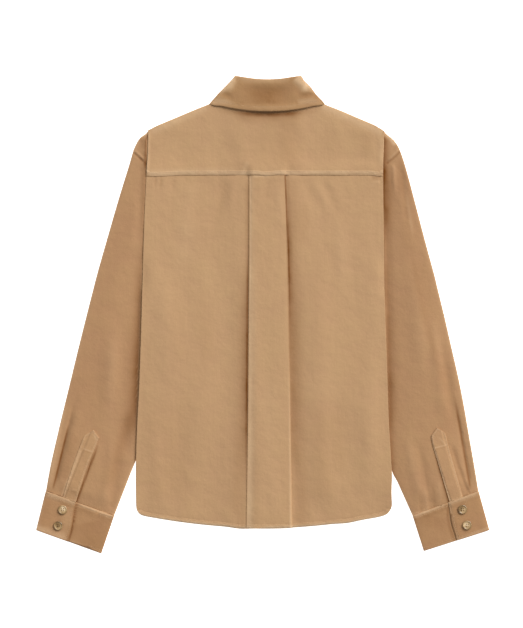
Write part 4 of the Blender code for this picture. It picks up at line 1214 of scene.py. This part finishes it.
def makeButton(node):
    low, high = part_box(node)
    middle, radius, height = (low + high) / 2, (high.x - low.x) / 2, high.z - low.z
    piece = turnButton("button_" + node, radius, height)
    drillButton(piece, height)
    points = pointsOf(piece)
    offX, offY = points[:, 0] / radius, points[:, 1] / radius
    if node.startswith(("front", "neck")):                    # these face down
        points *= (1, -1, -1)
        points += (middle.x, middle.y, high.z)
        offY = -offY
    else:
        points += (middle.x, middle.y, low.z)
    setPoints(piece, points)
    faceOutwards(piece)
    bpy.ops.object.shade_smooth_by_angle(angle=buttonForm["shading"])
    # a painted highlight round the spot, and darker towards the rim
    tone, paler, (spotX, spotY) = buttonTones.get(node, buttonTones["hidden"])
    tone = tone + paler * bell(np.hypot(offX - spotX, offY - spotY), 0.0, buttonForm["spot"])
    rim = ramp(np.hypot(offX, offY), *buttonForm["rimFrom"])
    setValue(piece, "tone", tone - buttonForm["rimShade"] * rim)
    piece.data.materials.append(horn)
    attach(piece, "root")
    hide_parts(node)
    return piece


buttons = {node: makeButton(node) for node in sorted(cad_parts) if "button" in node}
print("buttons made")


# A step that only reads each cloth's area and does nothing with it

def declare(piece, cloth):
    cloth.get("area")


declare(back, backCloth)
declare(yoke, yokeCloth)
declare(leaf, leafCloth)
declare(stand, standCloth)
for side, word in sides:
    declare(fronts[word], frontCloth)
    declare(bands[word], bandCloth)
    declare(sleeves[word], sleeveCloth)
    declare(plackets[word], placketCloth)
    declare(cuffs[word], cuffCloth)


# Floor, light and camera

studio = {
    "camera": (-0.0016, 0.0012, 3.0), "seen": 0.9769,         # in metres; width seen at the floor
    "key": 3.5, "keyWay": (0.56, 0.62, 0.56), "keySoftness": 38.0,
    "sky": 0.40, "white": (1.0, 1.0, 1.0, 1.0),
    "floor": (0.9, 0.9, 0.9, 1.0), "floorGlow": 1.0, "floorWidth": 8.0, "floorHeight": -0.0001,
}

bpy.ops.object.select_all(action="DESELECT")
bpy.ops.mesh.primitive_plane_add(size=studio["floorWidth"], location=(0, 0, studio["floorHeight"]))
floor = bpy.context.object
floor.name = "floor"
floorFinish = Finish("floor_white", Roughness=0.9, Specular_IOR_Level=0.1,
                     Base_Color=studio["floor"], Emission_Color=studio["white"],
                     Emission_Strength=studio["floorGlow"])
floor.data.materials.append(floorFinish.material)

keyWay = Vector(studio["keyWay"])
bpy.ops.object.light_add(type="SUN", location=keyWay * 3.0)
key = bpy.context.object
key.data.energy, key.data.angle = studio["key"], math.radians(studio["keySoftness"])
key.rotation_euler = keyWay.to_track_quat("Z", "Y").to_euler()
sky = bpy.data.worlds.new("studio")
sky.use_nodes = True
sky.node_tree.nodes["Background"].inputs["Color"].default_value = studio["white"]
sky.node_tree.nodes["Background"].inputs["Strength"].default_value = studio["sky"]
bpy.context.scene.world = sky
bpy.context.scene.view_settings.view_transform = "Standard"

bpy.ops.object.camera_add(location=studio["camera"], rotation=(0, 0, 0))
camera = bpy.context.object
camera.data.lens = camera.data.sensor_width * studio["camera"][2] / studio["seen"]
camera.data.clip_end = 20.0
bpy.context.scene.camera = camera
print("floor, light and camera set")
